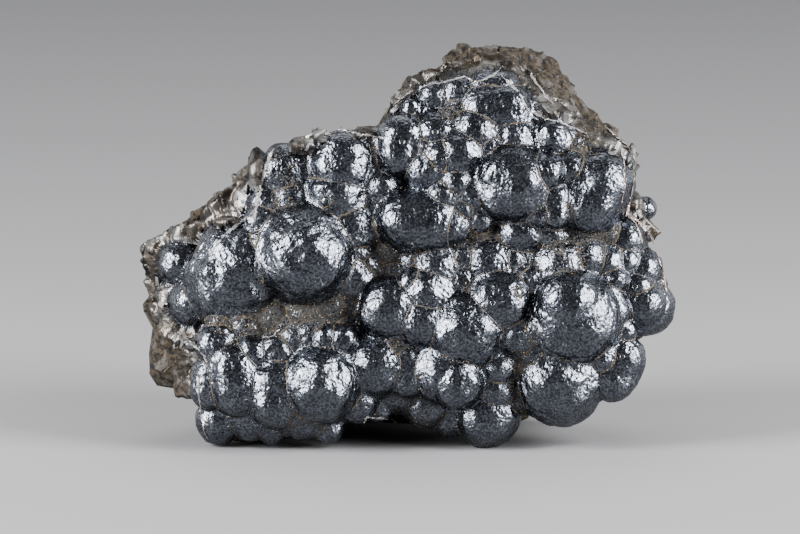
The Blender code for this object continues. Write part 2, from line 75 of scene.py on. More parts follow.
# %% The list of bubbles
BUBBLES = [
    (-45.0, 36.5, 4.2, 15.0), (-42.0, 28.8, 5.0, 13.2), (-33.2, 34.2, 9.2, 6.0, 0.7, 1.2),
    (-19.8, 38.0, 9.7, 1.0), (-28.6, 44.8, 2.8, 8.0), (-28.2, 40.2, 2.6, 7.0), (-27.6, 35.6, 2.8, 5.8),
    (-23.5, 54.8, 5.8, 9.0), (-27.2, 48.2, 3.4, 9.6), (-22.4, 49.0, 3.4, 8.8), (-12.2, 55.8, 7.2, 6.0),
    (-13.4, 50.0, 5.8, 6.2), (-10.5, 43.4, 4.8, 6.6), (-11.0, 33.6, 4.8, 6.8), (-11.6, 28.6, 3.2, 8.0),
    (-12.2, 24.6, 2.0, 8.0), (-4.2, 51.4, 3.8, 8.0), (-6.2, 48.4, 2.8, 9.0), (-7.2, 36.6, 1.8, 8.6),
    (-5.6, 34.2, 1.6, 9.6), (-9.4, 38.6, 2.4, 8.0), (-38.8, 12.6, 3.0, 7.6, 0.0, 1.6),
    (-33.4, 13.6, 4.6, 4.4, -0.4, 2.2), (-37.2, 20.2, 3.6, 6.4), (-30.4, 18.6, 3.0, 5.4),
    (-25.4, 18.8, 3.4, 5.6), (-25.6, 10.8, 4.6, 3.6, 0.0, 1.8), (-16.6, 12.6, 7.2, 0.8),
    (-18.6, 22.0, 3.4, 5.6), (-15.6, 21.4, 2.4, 4.6), (-12.2, 21.2, 2.6, 4.4), (-21.8, 21.6, 2.6, 6.0),
    (-23.8, 24.0, 2.0, 7.2), (-5.8, 16.2, 5.6, 4.4), (-9.6, 9.0, 4.6, 7.4), (-30.4, 6.6, 5.6, 8.2),
    (-37.0, 5.0, 4.6, 10.4), (-26.4, 4.4, 4.0, 9.6), (-20.2, 6.6, 5.2, 7.0, 0.8, 0.0),
    (-22.0, 7.6, 3.2, 5.6), (-15.4, 4.0, 3.6, 9.4), (-0.4, 59.8, 4.4, 6.0, 0.2, 1.4),
    (6.4, 62.6, 3.6, 6.4), (4.2, 59.6, 1.9, 6.8), (11.0, 58.2, 4.4, 4.4), (7.4, 57.8, 2.8, 4.8),
    (4.8, 55.0, 3.9, 5.4), (14.4, 62.8, 4.2, 5.8), (18.6, 67.2, 4.4, 6.8, 2.2, -0.2),
    (17.6, 71.2, 3.0, 9.4, 1.6, 0.0), (6.0, 69.8, 3.2, 10.0), (11.2, 70.4, 3.2, 9.6),
    (10.8, 67.0, 2.0, 9.0), (9.4, 65.4, 1.8, 8.4), (21.8, 61.4, 3.8, 6.6), (16.8, 59.2, 3.0, 6.4),
    (29.6, 61.4, 4.4, 7.0), (21.8, 52.2, 7.6, 1.5), (28.2, 54.6, 3.2, 3.2), (26.8, 46.4, 2.6, 4.6),
    (30.0, 47.8, 2.4, 4.6, 0.0, 1.8), (37.8, 50.4, 6.2, 4.6, 1.0, 1.7), (33.0, 55.2, 3.2, 5.8),
    (33.0, 47.4, 1.8, 5.6), (23.4, 42.4, 3.4, 5.6, 0.8, 0.0), (29.0, 42.2, 2.8, 6.2),
    (14.9, 45.2, 2.6, 5.8), (10.6, 52.4, 2.8, 5.0), (13.4, 50.2, 3.0, 5.2), (7.8, 49.8, 2.6, 5.0),
    (11.8, 47.4, 2.6, 5.6), (3.0, 44.8, 5.6, 3.6, 2.4, -0.2), (9.4, 43.8, 3.4, 4.6),
    (-2.8, 27.2, 6.2, 3.6), (4.8, 30.6, 4.6, 3.6), (3.6, 24.8, 4.6, 3.4), (1.6, 32.8, 2.4, 5.0),
    (12.4, 23.2, 7.4, 1.6), (19.0, 29.0, 6.0, 2.4), (22.6, 22.0, 3.8, 4.6), (26.0, 23.0, 2.4, 4.6),
    (25.8, 18.8, 2.6, 6.0), (10.6, 12.9, 4.6, 3.0), (7.6, 15.0, 5.4, 4.0),
    (0.6, 15.6, 3.2, 6.4, 0.0, 2.0), (18.6, 15.6, 3.0, 5.8), (18.2, 11.2, 3.2, 6.8),
    (16.8, 6.3, 6.6, 7.6), (6.6, 35.8, 4.4, 5.2), (11.8, 37.6, 2.8, 6.4), (11.8, 33.2, 2.8, 6.0),
    (17.2, 37.0, 4.4, 5.2), (21.8, 37.0, 2.2, 6.4), (23.8, 37.8, 2.2, 7.4), (25.2, 33.0, 2.8, 5.6),
    (23.6, 34.8, 1.6, 6.4), (1.6, 37.0, 2.2, 7.6), (4.2, 8.2, 4.8, 10.0), (-5.0, 7.6, 3.0, 11.0),
    (9.2, 5.6, 4.0, 12.0), (-1.0, 11.6, 4.2, 9.4), (-2.4, 35.6, 3.0, 9.4), (33.6, 25.6, 9.3, 1.2),
    (32.8, 28.0, 6.4, 0.3), (31.0, 36.4, 4.6, 5.0), (36.4, 37.6, 3.6, 6.8), (40.4, 36.6, 3.4, 8.4),
    (35.0, 41.6, 3.4, 8.0), (30.8, 13.4, 9.4, 4.6), (42.6, 15.6, 4.8, 7.6, 0.9, 1.8),
    (39.4, 17.8, 3.0, 6.8), (48.0, 28.0, 6.0, 11.0), (47.8, 28.4, 3.8, 9.2), (46.6, 31.6, 2.6, 9.6),
    (47.4, 35.2, 3.6, 10.8), (50.2, 32.4, 2.6, 13.6), (44.2, 36.8, 2.6, 9.8), (44.0, 41.2, 3.6, 10.4),
    (42.0, 33.0, 2.2, 7.8), (41.6, 28.6, 2.2, 7.4, -0.9, 1.7), (43.6, 23.0, 2.2, 8.6),
    (48.2, 47.6, 2.4, 17.0),
]
print("bubbles:", len(BUBBLES))

# %% [markdown]
# ## A short way to write node trees
# Every tree below is built in code, and most of a tree is arithmetic. So a node's output is wrapped as a
# wire that can be added, multiplied and compared like a number, and each such sum adds its math node.
# Numbers and arrows share the signs; for arrows @ is the dot product and abs is the length.

# %% Wires
class Wire:
    """A node's output that can stand in a formula."""

    def __init__(self, socket):
        self.socket = socket
        self.tree = socket.id_data
        self.is_arrow = socket.type in ("VECTOR", "RGBA")

    def sum(self, operation, first, second):
        return (arrow if self.is_arrow else number)(operation, first, second)

    def __add__(self, other):
        return self.sum("ADD", self, other)

    def __sub__(self, other):
        return self.sum("SUBTRACT", self, other)

    def __rsub__(self, other):
        return self.sum("SUBTRACT", other, self)

    def __mul__(self, other):
        return self.sum("SCALE" if self.is_arrow else "MULTIPLY", self, other)

    def __truediv__(self, other):
        return number("DIVIDE", self, other)

    def __lt__(self, other):
        return number("LESS_THAN", self, other)

    def __gt__(self, other):
        return number("GREATER_THAN", self, other)

    def __matmul__(self, other):
        return arrow("DOT_PRODUCT", self, other)

    def __abs__(self):
        return arrow("LENGTH", self)


# %% [markdown]
# One helper adds any node. It feeds the live sockets in order; a named feed with a capital goes to the
# socket of that name, and one without a capital sets a property of the node.

# %% Node helpers
def plug(feed, socket):
    """Link a wire to a socket, or give the socket a plain value; None leaves it alone."""
    if isinstance(feed, Wire):
        feed.tree.links.new(feed.socket, socket)
    elif feed is not None:
        socket.default_value = feed


def node(tree, kind, *feeds, **named):
    made = tree.nodes.new(kind)
    for name, value in named.items():
        if name[0].islower():
            setattr(made, name, value)
    live = [socket for socket in made.inputs if socket.enabled]
    for socket, feed in zip(live, feeds):
        plug(feed, socket)
    for name, feed in named.items():
        if name[0].isupper():
            plug(feed, made.inputs[name.replace("_", " ")])
    return made


def outputs_of(made):
    return {socket.name: Wire(socket) for socket in made.outputs if socket.enabled}


def wire(tree, kind, *feeds, output=None, **named):
    """A new node's first live output, or the one asked for."""
    made = node(tree, kind, *feeds, **named)
    return Wire(made.outputs[output] if output else next(socket for socket in made.outputs if socket.enabled))


def tree_of(feeds):
    return next(feed.tree for feed in feeds if isinstance(feed, Wire))


def number(operation, *feeds):
    return wire(tree_of(feeds), "ShaderNodeMath", *feeds, operation=operation)


def arrow(operation, *feeds):
    return wire(tree_of(feeds), "ShaderNodeVectorMath", *feeds, operation=operation)


def limited(value, low, high):
    return number("MINIMUM", number("MAXIMUM", value, low), high)


def ramp(value, low, high, start=0.0, end=1.0):
    """A smooth step from start to end while value goes from low to high."""
    feeds = (value, low, high, start, end)
    return wire(value.tree, "ShaderNodeMapRange", *feeds, interpolation_type="SMOOTHSTEP")


def group(name, kind, inputs, outputs):
    """A node group with named sockets; returns the tree, its input wires by name and its end node."""
    tree = bpy.data.node_groups.new(name, kind)
    for way, sockets in (("INPUT", inputs), ("OUTPUT", outputs)):
        for label, sort in sockets.items():
            tree.interface.new_socket(label, in_out=way, socket_type="NodeSocket" + sort)
    start = tree.nodes.new("NodeGroupInput")
    return tree, {label: Wire(start.outputs[label]) for label in inputs}, tree.nodes.new("NodeGroupOutput")


def finish_group(end, **results):
    for label, result in results.items():
        plug(result, end.inputs[label])


def use(tree, inner, **feeds):
    """Place a group in a tree, feed its sockets by name, and return its outputs by name."""
    kind = "GeometryNodeGroup" if inner.bl_idname == "GeometryNodeTree" else "ShaderNodeGroup"
    return outputs_of(node(tree, kind, node_tree=inner, **feeds))


# %% [markdown]
# ## The seed mesh
# The lump comes from the CAD solid. Its triangles arrive loose, so a copy is welded first. It also tells
# how deep the rock lies behind any point of the photo, by a ray along the view.

# %% Weld a copy of the solid
def plain_mesh(thing):
    """The mesh that an object's modifiers give, as a plain mesh."""
    graph = bpy.context.evaluated_depsgraph_get()
    return bpy.data.meshes.new_from_object(thing.evaluated_get(graph))


def triangles(mesh):
    mesh.calc_loop_triangles()
    return len(mesh.loop_triangles)


def bake_modifiers(thing):
    mesh = plain_mesh(thing)
    thing.modifiers.clear()
    thing.data = mesh
    return mesh


def new_object(name, mesh=None):
    thing = bpy.data.objects.new(name, mesh or bpy.data.meshes.new(name))
    bpy.context.scene.collection.objects.link(thing)
    return thing


weld = bmesh.new()
weld.from_mesh(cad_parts["goethite"].data)
bmesh.ops.remove_doubles(weld, verts=weld.verts, dist=0.001 * MM)
lump = new_object("goethite_lump")
weld.to_mesh(lump.data)
weld.free()
print("welded lump:", triangles(lump.data), "triangles")

# %% [markdown]
# ## The nuclei
# Each bubble grew from a nucleus. Inside the cluster a bubble keeps its front and gets a little wider, so
# neighbours meet in shallow creases as they do on the stone. Small fillers sit on the rock where the photo
# shows tiny bubbles. Pads are wide and low: they are the dusty valley floors between the big bubbles.
# Crags are lumps of rock behind the bubbles. Marks say where dust lies and where the rock is freshly broken.

# %% More bubbles, rock and marks
LEDGED = {  # how strongly the low side of a bubble is stepped, by where the bubble is
    (33.6, 25.6): 1.0, (32.8, 28.0): 0.5, (30.8, 13.4): 1.0, (42.6, 15.6): 1.0, (48.0, 28.0): 1.0,
    (39.4, 17.8): 0.8, (16.8, 6.3): 0.6, (-16.6, 12.6): 0.5, (3.0, 44.8): 0.5, (-33.2, 34.2): 0.6,
    (37.8, 50.4): 0.6, (21.8, 52.2): 0.4, (7.6, 15.0): 0.6, (-12.2, 55.8): 0.4,
}
FAMILIES = {  # bubbles that grew into one have no dirt between them
    (33.6, 25.6): -1, (32.8, 28.0): -1, (48.0, 28.0): -2, (47.8, 28.4): -2,
    (7.6, 15.0): -3, (10.6, 12.9): -3,
}
OUTLINE = {  # bubbles on the outline keep their size
    (-37.0, 5.0), (-30.4, 6.6), (-26.4, 4.4), (-20.2, 6.6), (-15.4, 4.0), (-9.6, 9.0), (-5.0, 7.6),
    (4.2, 8.2), (9.2, 5.6), (16.8, 6.3), (30.8, 13.4), (42.6, 15.6), (48.0, 28.0), (50.2, 32.4),
    (48.2, 47.6), (-45.0, 36.5), (-42.0, 28.8), (-23.5, 54.8), (-12.2, 55.8), (29.6, 61.4), (6.0, 69.8),
}
FILLERS = [  # across, up, radius
    (-27.4, 22.4, 1.5), (-36.2, 22.8, 1.4), (-33.2, 22.4, 1.3), (1.4, 67.6, 1.9), (8.0, 67.0, 1.1),
    (33.4, 41.4, 1.2), (30.6, 39.0, 1.1), (26.4, 30.4, 1.1), (22.4, 30.6, 1.2), (-15.4, 49.0, 1.4),
]
PADS = [  # across, up, radius, depth of the front
    (-19.6, 25.8, 5.5, 6.8), (-14.4, 27.4, 4.5, 7.2), (-25.6, 25.2, 4.5, 7.5), (-31.4, 23.8, 4.0, 7.8),
    (-36.4, 24.0, 3.4, 8.6), (-5.4, 57.6, 3.6, 9.2), (-4.8, 43.6, 3.5, 8.2), (-3.2, 38.8, 3.2, 8.4),
    (4.0, 40.0, 3.2, 7.4), (10.0, 40.4, 3.0, 7.6), (15.2, 42.0, 3.2, 7.4), (19.4, 40.6, 3.0, 7.6),
    (37.8, 43.2, 3.0, 8.6), (23.4, 16.2, 3.6, 7.8), (22.4, 9.8, 3.4, 9.0), (-16.4, 44.4, 3.0, 9.2),
    (12.4, 17.8, 3.0, 5.8), (-1.8, 20.0, 3.0, 6.4), (40.6, 42.6, 3.0, 9.8), (33.6, 58.6, 3.4, 8.6),
]
CRAGS = [  # across, up, depth, and the half sizes across, up and deep
    (-12.0, 62.0, 13.0, 7.5, 1.9, 5.0), (-29.4, 55.0, 14.5, 2.0, 5.0, 5.0),
    (-20.0, 60.2, 13.5, 4.0, 1.8, 5.0), (46.2, 47.0, 17.6, 2.2, 4.2, 4.0),
    (45.6, 56.0, 14.5, 1.0, 4.5, 4.0), (30.0, 66.0, 12.5, 5.0, 1.6, 4.0),
    (-34.6, 44.6, 13.0, 4.0, 1.6, 4.0), (-41.6, 20.4, 12.5, 3.4, 1.4, 4.0),
]
MARKS = {  # across, up, depth, reach
    "dusty": [
        (-26.0, 25.0, 9.0, 5.5), (-18.0, 25.5, 9.0, 5.5), (-11.0, 27.5, 9.0, 4.5), (-5.0, 37.0, 10.0, 5.0),
        (2.0, 38.5, 8.0, 4.0), (12.0, 41.5, 9.0, 4.0), (18.0, 42.5, 9.0, 4.5), (31.0, 38.0, 7.0, 6.5),
        (37.0, 39.5, 8.0, 5.5), (23.0, 17.0, 8.0, 4.5), (21.0, 12.0, 9.0, 3.5), (-23.5, 55.0, 9.5, 6.0),
        (-24.0, 49.0, 10.0, 4.0), (9.5, 66.5, 9.5, 3.0), (23.5, 30.0, 8.0, 2.5), (36.0, 57.0, 9.0, 4.0),
        (27.0, 37.5, 8.0, 3.5), (16.0, 63.5, 7.0, 2.5), (13.0, 32.0, 7.0, 2.5), (4.0, 6.0, 13.0, 6.0),
    ],
    "fresh": [
        (-47.0, 40.0, 12.0, 7.0), (-50.0, 31.0, 13.0, 7.0), (-43.0, 18.0, 11.0, 6.0), (-43.0, 9.0, 11.0, 6.0),
        (-29.0, 49.0, 12.0, 5.0), (-16.0, 62.5, 11.0, 5.0), (-3.0, 69.5, 11.0, 3.5), (10.0, 74.5, 10.0, 3.0),
        (21.5, 73.0, 8.0, 2.5), (28.0, 69.0, 9.0, 3.5), (46.0, 57.0, 12.0, 4.0), (47.0, 43.0, 13.0, 4.0),
        (52.0, 35.0, 15.0, 5.0), (32.0, 64.0, 10.0, 2.5), (43.0, 61.5, 11.0, 3.0), (-38.0, 2.0, 12.0, 4.0),
    ],
}
print("pads:", len(PADS), "crags:", len(CRAGS), "marks:", sum(len(spots) for spots in MARKS.values()))

# %% Nuclei as points
SWELL_BASE, SWELL_SHARE, MOST_SWELL = 0.4, 0.12, 0.9
VIEW_START = -40.0
FILLER_SINK = 0.45
FAINT_LEDGES = 0.15


def point_cloud(name, points, **values):
    """Loose points with a number or an arrow stored on each."""
    thing = bpy.data.objects.new(name, bpy.data.meshes.new(name))
    thing.data.from_pydata(points, [], [])
    for label, rows in values.items():
        if isinstance(rows[0], float):
            thing.data.attributes.new(label, "FLOAT", "POINT").data.foreach_set("value", rows)
        else:
            flat = [part for row in rows for part in row]
            thing.data.attributes.new(label, "FLOAT_VECTOR", "POINT").data.foreach_set("vector", flat)
    return thing


def swollen(row):
    """A bubble inside the cluster, grown until it meets its neighbours; its front stays where it is."""
    across, up, radius, *rest = row
    swell = 0.0 if (across, up) in OUTLINE else min(MOST_SWELL, SWELL_BASE + SWELL_SHARE * radius)
    return across, up, radius + swell, *rest


def on_the_rock(across, up, radius):
    """A small bubble that the ray through (across, up) finds half sunk in the solid."""
    start = place(across, up, VIEW_START)
    _, spot, _, _ = lump.ray_cast(start, LOOK)
    depth = (spot - start).length / MM + VIEW_START
    return across, up, radius, depth - FILLER_SINK * radius, 0.0, 0.0


rows = [row if len(row) == 6 else (*row, 0.0, 0.0) for row in BUBBLES]
rows = [swollen(row) for row in rows] + [on_the_rock(*filler) for filler in FILLERS]
rows += [(*pad, 0.0, 0.0) for pad in PADS]
nuclei = point_cloud(
    "nuclei",
    [place(across, up, front + radius) for across, up, radius, front, _, _ in rows],
    radius=[radius * MM for _, _, radius, _, _, _ in rows],
    half=[place(run_across, run_up, 0) - place(0, 0, 0) for *_, run_across, run_up in rows],
    ledged=[LEDGED.get(row[:2], FAINT_LEDGES) for row in rows],
    family=[float(FAMILIES.get(row[:2], count)) for count, row in enumerate(rows, 1)],
    floor=[float(row[:4] in PADS) for row in rows],
)
marks = [(kind, *mark) for kind, found in MARKS.items() for mark in found]
marked_spots = point_cloud(
    "marked spots", [place(across, up, deep) for _, across, up, deep, _ in marks],
    reach=[reach * MM for *_, reach in marks],
    **{kind: [float(mark[0] == kind) for mark in marks] for kind in MARKS},
)
print("bubbles on the skin:", len(rows), "marked spots:", len(marks))

# %% [markdown]
# ## An even net over balls and rock
# The skin needs vertices about 0.3 mm apart, and the CAD solid has one triangle every few millimetres.
# Balls and solid are put into one mesh, and a voxel remesh fuses them and gives an even net all over.

# %% Fuse and remesh
NET = 0.31
BEADS = (-1.0, -0.5, 0.0, 0.5, 1.0)

fused = bmesh.new()
fused.from_mesh(lump.data)
for across, up, radius, front, run_across, run_up in rows:
    for share in BEADS if run_across or run_up else (0.0,):
        middle = Matrix.Translation(place(across + share * run_across, up + share * run_up, front + radius))
        bmesh.ops.create_icosphere(fused, subdivisions=3, radius=radius * MM, matrix=middle)
for across, up, deep, wide, tall, thick in CRAGS:
    turned = Matrix.Rotation(-LEAN, 4, "X") @ Matrix.Diagonal((wide * MM, thick * MM, tall * MM, 1.0))
    crag = Matrix.Translation(place(across, up, deep)) @ turned
    bmesh.ops.create_icosphere(fused, subdivisions=2, radius=1.0, matrix=crag)
fused.to_mesh(lump.data)
fused.free()
net = lump.modifiers.new("net", "REMESH")
net.mode = "VOXEL"
net.voxel_size = NET * MM
mesh = bake_modifiers(lump)
print("even net:", triangles(mesh), "triangles")

# %% [markdown]
# ## Values on the skin
# A field tree computes a value for each vertex where it stands at that moment. What is needed later, after
# the vertex has moved, is stored on the mesh under a name and read back by that name.

# %% Geometry helpers
def sort_of(value):
    """What a wire or a plain value holds, in the words of the attribute nodes."""
    kind = value.socket.type if isinstance(value, Wire) else "INT" if isinstance(value, int) else "VALUE"
    return {"VECTOR": "FLOAT_VECTOR", "INT": "INT"}.get(kind, "FLOAT")


def stored(tree, name, sort="FLOAT"):
    return wire(tree, "GeometryNodeInputNamedAttribute", name, data_type=sort)


def store(geometry, name, value):
    feeds = (geometry, None, name, value)
    return wire(geometry.tree, "GeometryNodeStoreNamedAttribute", *feeds, data_type=sort_of(value))


def held(geometry, **values):
    """Capture values on the geometry as it stands; returns it and the captured wires by name."""
    made = node(geometry.tree, "GeometryNodeCaptureAttribute", geometry)
    for name, value in values.items():
        sort = value.socket.type
        made.capture_items.new("FLOAT" if sort == "VALUE" else sort, name)
        plug(value, made.inputs[name])
    return outputs_of(made)


def sample(points, value, index):
    """A value at one of the points of another geometry."""
    return wire(points.tree, "GeometryNodeSampleIndex", points, value, index, data_type=sort_of(value))


def choose(test, otherwise, then):
    sort = sort_of(otherwise).replace("FLOAT_VECTOR", "VECTOR")
    return wire(test.tree, "GeometryNodeSwitch", test, otherwise, then, input_type=sort)


def blurred(value, turns, weight=1.0):
    return wire(value.tree, "GeometryNodeBlurAttribute", value, turns, weight, data_type=sort_of(value))


def position(tree):
    return wire(tree, "GeometryNodeInputPosition")


def normal(tree):
    return wire(tree, "GeometryNodeInputNormal")


def mesh_of(thing):
    """The geometry of another object."""
    return wire(thing.tree, "GeometryNodeObjectInfo", thing, output="Geometry")


def moved(geometry, shift):
    return wire(geometry.tree, "GeometryNodeSetPosition", geometry, None, None, shift)


def smooth(geometry):
    return wire(geometry.tree, "GeometryNodeSetShadeSmooth", geometry, None, True)


def realized(geometry):
    return wire(geometry.tree, "GeometryNodeRealizeInstances", geometry)


def painted(geometry, finish):
    return wire(geometry.tree, "GeometryNodeSetMaterial", geometry, None, finish)


def above_ground(geometry):
    """Nothing reaches below the table."""
    now = outputs_of(node(geometry.tree, "ShaderNodeSeparateXYZ", position(geometry.tree)))
    lifted = number("MAXIMUM", now["Z"], 0.0)
    on_ground = wire(geometry.tree, "ShaderNodeCombineXYZ", now["X"], now["Y"], lifted)
    return wire(geometry.tree, "GeometryNodeSetPosition", geometry, None, on_ground)


# %% [markdown]
# ## Which bubble owns a point
# A point belongs to the ball whose surface is nearest to it, and a crease runs where two balls are equally
# near. The rule is a loop over all nuclei, so it suits a Repeat Zone in Geometry Nodes: each turn compares
# one ball with the best two so far and stores the result on the vertices.

# %% Two nearest bubbles
FAR = 1.0
NOT_ZERO = 1e-12


def spoke_of(nuclei, index):
    """The arrow from a bubble's line of nuclei to the point at hand, and the bubble's radius."""
    tree = nuclei.tree
    middle = sample(nuclei, position(tree), index)
    half = sample(nuclei, stored(tree, "half", "FLOAT_VECTOR"), index)
    radius = sample(nuclei, stored(tree, "radius"), index)
    away = position(tree) - middle
    share = (away @ half) / number("MAXIMUM", half @ half, NOT_ZERO)
    return away - half * limited(share, -1.0, 1.0), radius


def two_nearest_bubbles():
    tree, given, end = group(
        "two nearest bubbles", "GeometryNodeTree",
        {"Skin": "Geometry", "Nuclei": "Geometry", "Count": "Int"}, {"Skin": "Geometry"},
    )
    skin = given["Skin"]
    for name, value in {"gap": FAR, "gap2": FAR, "first": 0, "second": 0}.items():
        skin = store(skin, name, value)
    turn_in = tree.nodes.new("GeometryNodeRepeatInput")
    turn_out = tree.nodes.new("GeometryNodeRepeatOutput")
    turn_in.pair_with_output(turn_out)
    plug(given["Count"], turn_in.inputs["Iterations"])
    plug(skin, turn_in.inputs["Geometry"])
    this = Wire(turn_in.outputs["Iteration"])
    spoke, radius = spoke_of(given["Nuclei"], this)
    away = abs(spoke) - radius
    gap, gap2 = stored(tree, "gap"), stored(tree, "gap2")
    first, second = stored(tree, "first", "INT"), stored(tree, "second", "INT")
    closest = away < gap
    best = held(
        Wire(turn_in.outputs["Geometry"]),
        gap=number("MINIMUM", away, gap),
        gap2=choose(closest, number("MINIMUM", away, gap2), gap),
        first=choose(closest, first, this),
        second=choose(closest, choose(away < gap2, second, this), first),
    )
    skin = best.pop("Geometry")
    for name in ("gap", "gap2", "first", "second"):
        skin = store(skin, name, best[name])
    plug(skin, turn_out.inputs["Geometry"])
    finish_group(end, Skin=Wire(turn_out.outputs["Geometry"]))
    return tree


nearest = two_nearest_bubbles()
print("owner group nodes:", len(nearest.nodes))

# %% [markdown]
# ## Settling on the balls
# Each vertex near a ball slides onto it. A vertex close to a crease has to lie on two balls at once, or
# the crease comes out as a saw edge. Two sphere equations and two unknown steps make a small linear
# problem, and its solution is written below as a formula. Repeating it once or twice is exact enough.
# Where two balls meet at a very flat angle the formula is unsafe, and the vertex takes the nearer ball.

# %% Slide the skin onto the balls
LEAST_SPREAD = 0.03
LEAST_ANGLE = 0.28


def onto_the_balls():
    tree, given, end = group(
        "onto the balls", "GeometryNodeTree",
        {"Skin": "Geometry", "Nuclei": "Geometry", "Reach": "Float", "Snap": "Float"}, {"Skin": "Geometry"},
    )
    pulls, gaps = [], []
    for name in ("first", "second"):
        spoke, radius = spoke_of(given["Nuclei"], stored(tree, name, "INT"))
        pulls.append(arrow("NORMALIZE", spoke))
        gaps.append(abs(spoke) - radius)
    cosine = pulls[0] @ pulls[1]
    spread = number("MAXIMUM", 1.0 - cosine * cosine, LEAST_SPREAD)
    shares = [(gaps[own] - cosine * gaps[1 - own]) / spread for own in (0, 1)]
    both = pulls[0] * shares[0] + pulls[1] * shares[1]
    angle = number("SQRT", spread)
    crease = (gaps[1] - gaps[0]) / angle
    shift = choose((crease < given["Snap"]) * (angle > LEAST_ANGLE), pulls[0] * gaps[0], both)
    keep = ramp(gaps[0], given["Reach"] * 0.5, given["Reach"], -1.0, 0.0)
    finish_group(end, Skin=store(moved(given["Skin"], shift * keep), "crease", crease))
    return tree


settle = onto_the_balls()
print("settling group nodes:", len(settle.nodes))

# %% [markdown]
# ## Sizes of the relief
# All that someone may want to change about the skin is an input of its tree, with the value for this
# lump kept in one list: how far the balls pull, how full the valleys are, and the sizes of the lumps,
# knobs, dimples and ledges on the bubbles and of the flats, chips and crumbs on the rock.

# %% Skin sizes
SKIN_SIZES = {
    "Reach": 1.6 * MM, "Snap": 0.17 * MM, "Valley Fill": 0.9,
    "Bare Start": 1.0 * MM, "Bare End": 1.6 * MM,
    "Lump Share": 0.13, "Lump Width": 5.5 * MM, "Lump Fade": 1.6 * MM,
    "Knob Height": 0.5 * MM, "Knob Width": 2.3 * MM,
    "Dimple Height": 0.17 * MM, "Dimple Width": 1.25 * MM,
    "Ledge Height": 0.16 * MM, "Ledge Width": 1.5 * MM,
    "Facet Size": 4.2 * MM, "Facet Tilt": 0.27, "Facet Step": 0.14 * MM, "Facet Limit": 0.6 * MM,
    "Chip Size": 1.7 * MM, "Chip Tilt": 0.3, "Chip Step": 0.04 * MM, "Chip Limit": 0.25 * MM,
    "Crumb Size": 0.95 * MM, "Crumb Height": 0.26 * MM,
    "Break Start": 1.6 * MM, "Break End": 3.8 * MM,
    "Crust Start": 3.2 * MM, "Crust End": 6.5 * MM,
}
print("sizes of the skin:", len(SKIN_SIZES))

# %% [markdown]
# ## Settled and filled
# The net slides onto the balls three times, and before the last two it finds its owners again. Later
# growth and dust fill the hollows part of the way: a hollow point rises towards the mean of the skin
# around it. How bare of bubbles the rock is gets stored first, while the net still lies on the rock.

# %% Settle on the balls and fill the valleys
BARE_BLUR, HOLLOW_BLUR, WAY_BLUR = 3, 4, 8
VALLEY_BLUR = 60


def settled(skin, given, balls):
    tree = skin.tree
    slide = {"Nuclei": balls, "Reach": given["Reach"], "Snap": given["Snap"]}
    skin = use(tree, nearest, Skin=skin, Nuclei=balls, Count=given["Count"])["Skin"]
    even_gap = blurred(stored(tree, "gap"), BARE_BLUR)
    skin = store(skin, "bare", ramp(even_gap, given["Bare Start"], given["Bare End"]))
    skin = use(tree, settle, Skin=skin, **slide)["Skin"]
    skin = use(tree, nearest, Skin=skin, Nuclei=balls, Count=given["Count"])["Skin"]
    for _ in range(2):
        skin = use(tree, settle, Skin=skin, **slide)["Skin"]
    return skin


def filled(skin, given):
    tree = skin.tree
    hollow = (blurred(position(tree), VALLEY_BLUR) - position(tree)) @ normal(tree)
    skin = store(skin, "hollow", hollow)
    even = blurred(stored(tree, "hollow"), HOLLOW_BLUR)
    lift = number("MAXIMUM", even, 0.0) * given["Valley Fill"]
    return moved(skin, arrow("NORMALIZE", blurred(normal(tree), WAY_BLUR)) * lift)


# %% [markdown]
# ## What the finish needs later
# Before the relief is added, the tree stores on each vertex where it lies, which way the needles run, how
# big its bubble is, how far a crease is, whether it is the floor of a valley, and how dusty or freshly
# broken it is by the nearest mark. Between bubbles of one family no crease counts.

# %% Store the marks
KIN_DISTANCE = 3.0 * MM
CALM_BLUR = 10
MARK_EDGE = (1.15, 0.45)


def marked(skin, given, balls):
    tree = skin.tree
    owner = stored(tree, "first", "INT")
    spoke, radius = spoke_of(balls, owner)
    kin = [sample(balls, stored(tree, "family"), stored(tree, name, "INT")) for name in ("first", "second")]
    spots = mesh_of(given["Marks"])
    spot = wire(tree, "GeometryNodeSampleNearest", spots, position(tree), domain="POINT")
    far = arrow("DISTANCE", position(tree), sample(spots, position(tree), spot))
    near = ramp(far / sample(spots, stored(tree, "reach"), spot), *MARK_EDGE)
    for name, value in {
        "spoke": spoke, "bed": position(tree), "size": radius, "calm": blurred(normal(tree), CALM_BLUR),
        "ledged": sample(balls, stored(tree, "ledged"), owner),
        **{kind: near * sample(spots, stored(tree, kind), spot) for kind in MARKS},
        "edge": stored(tree, "crease") + number("COMPARE", *kin, 0.1) * KIN_DISTANCE,
        "floor": sample(balls, stored(tree, "floor"), owner),
    }.items():
        skin = store(skin, name, value)
    return skin


# %% [markdown]
# ## Three kinds of unevenness
# All relief below is made of three patterns: slow ups and downs, small round grains side by side, and
# broken flats, where every Voronoi cell is a flat with its own tilt and step.

# %% Patterns
HALF = (0.5, 0.5, 0.5)
DOME_EDGE = 0.45


def repeats(spot, width):
    """How often a pattern of this width repeats in a metre."""
    return wire(spot.tree, "ShaderNodeMath", 1.0, width, operation="DIVIDE")


def rolling(spot, width, height, seed):
    """Slow ups and downs, as high and as wide as asked."""
    feeds = (spot, seed, repeats(spot, width), 1.0)
    return (wire(spot.tree, "ShaderNodeTexNoise", *feeds, noise_dimensions="4D") - 0.5) * height


def domes(spot, width, height, **settings):
    """Small round grains packed side by side."""
    away = wire(spot.tree, "ShaderNodeTexVoronoi", spot, repeats(spot, width), 0.0, **settings)
    return (DOME_EDGE - away) * height


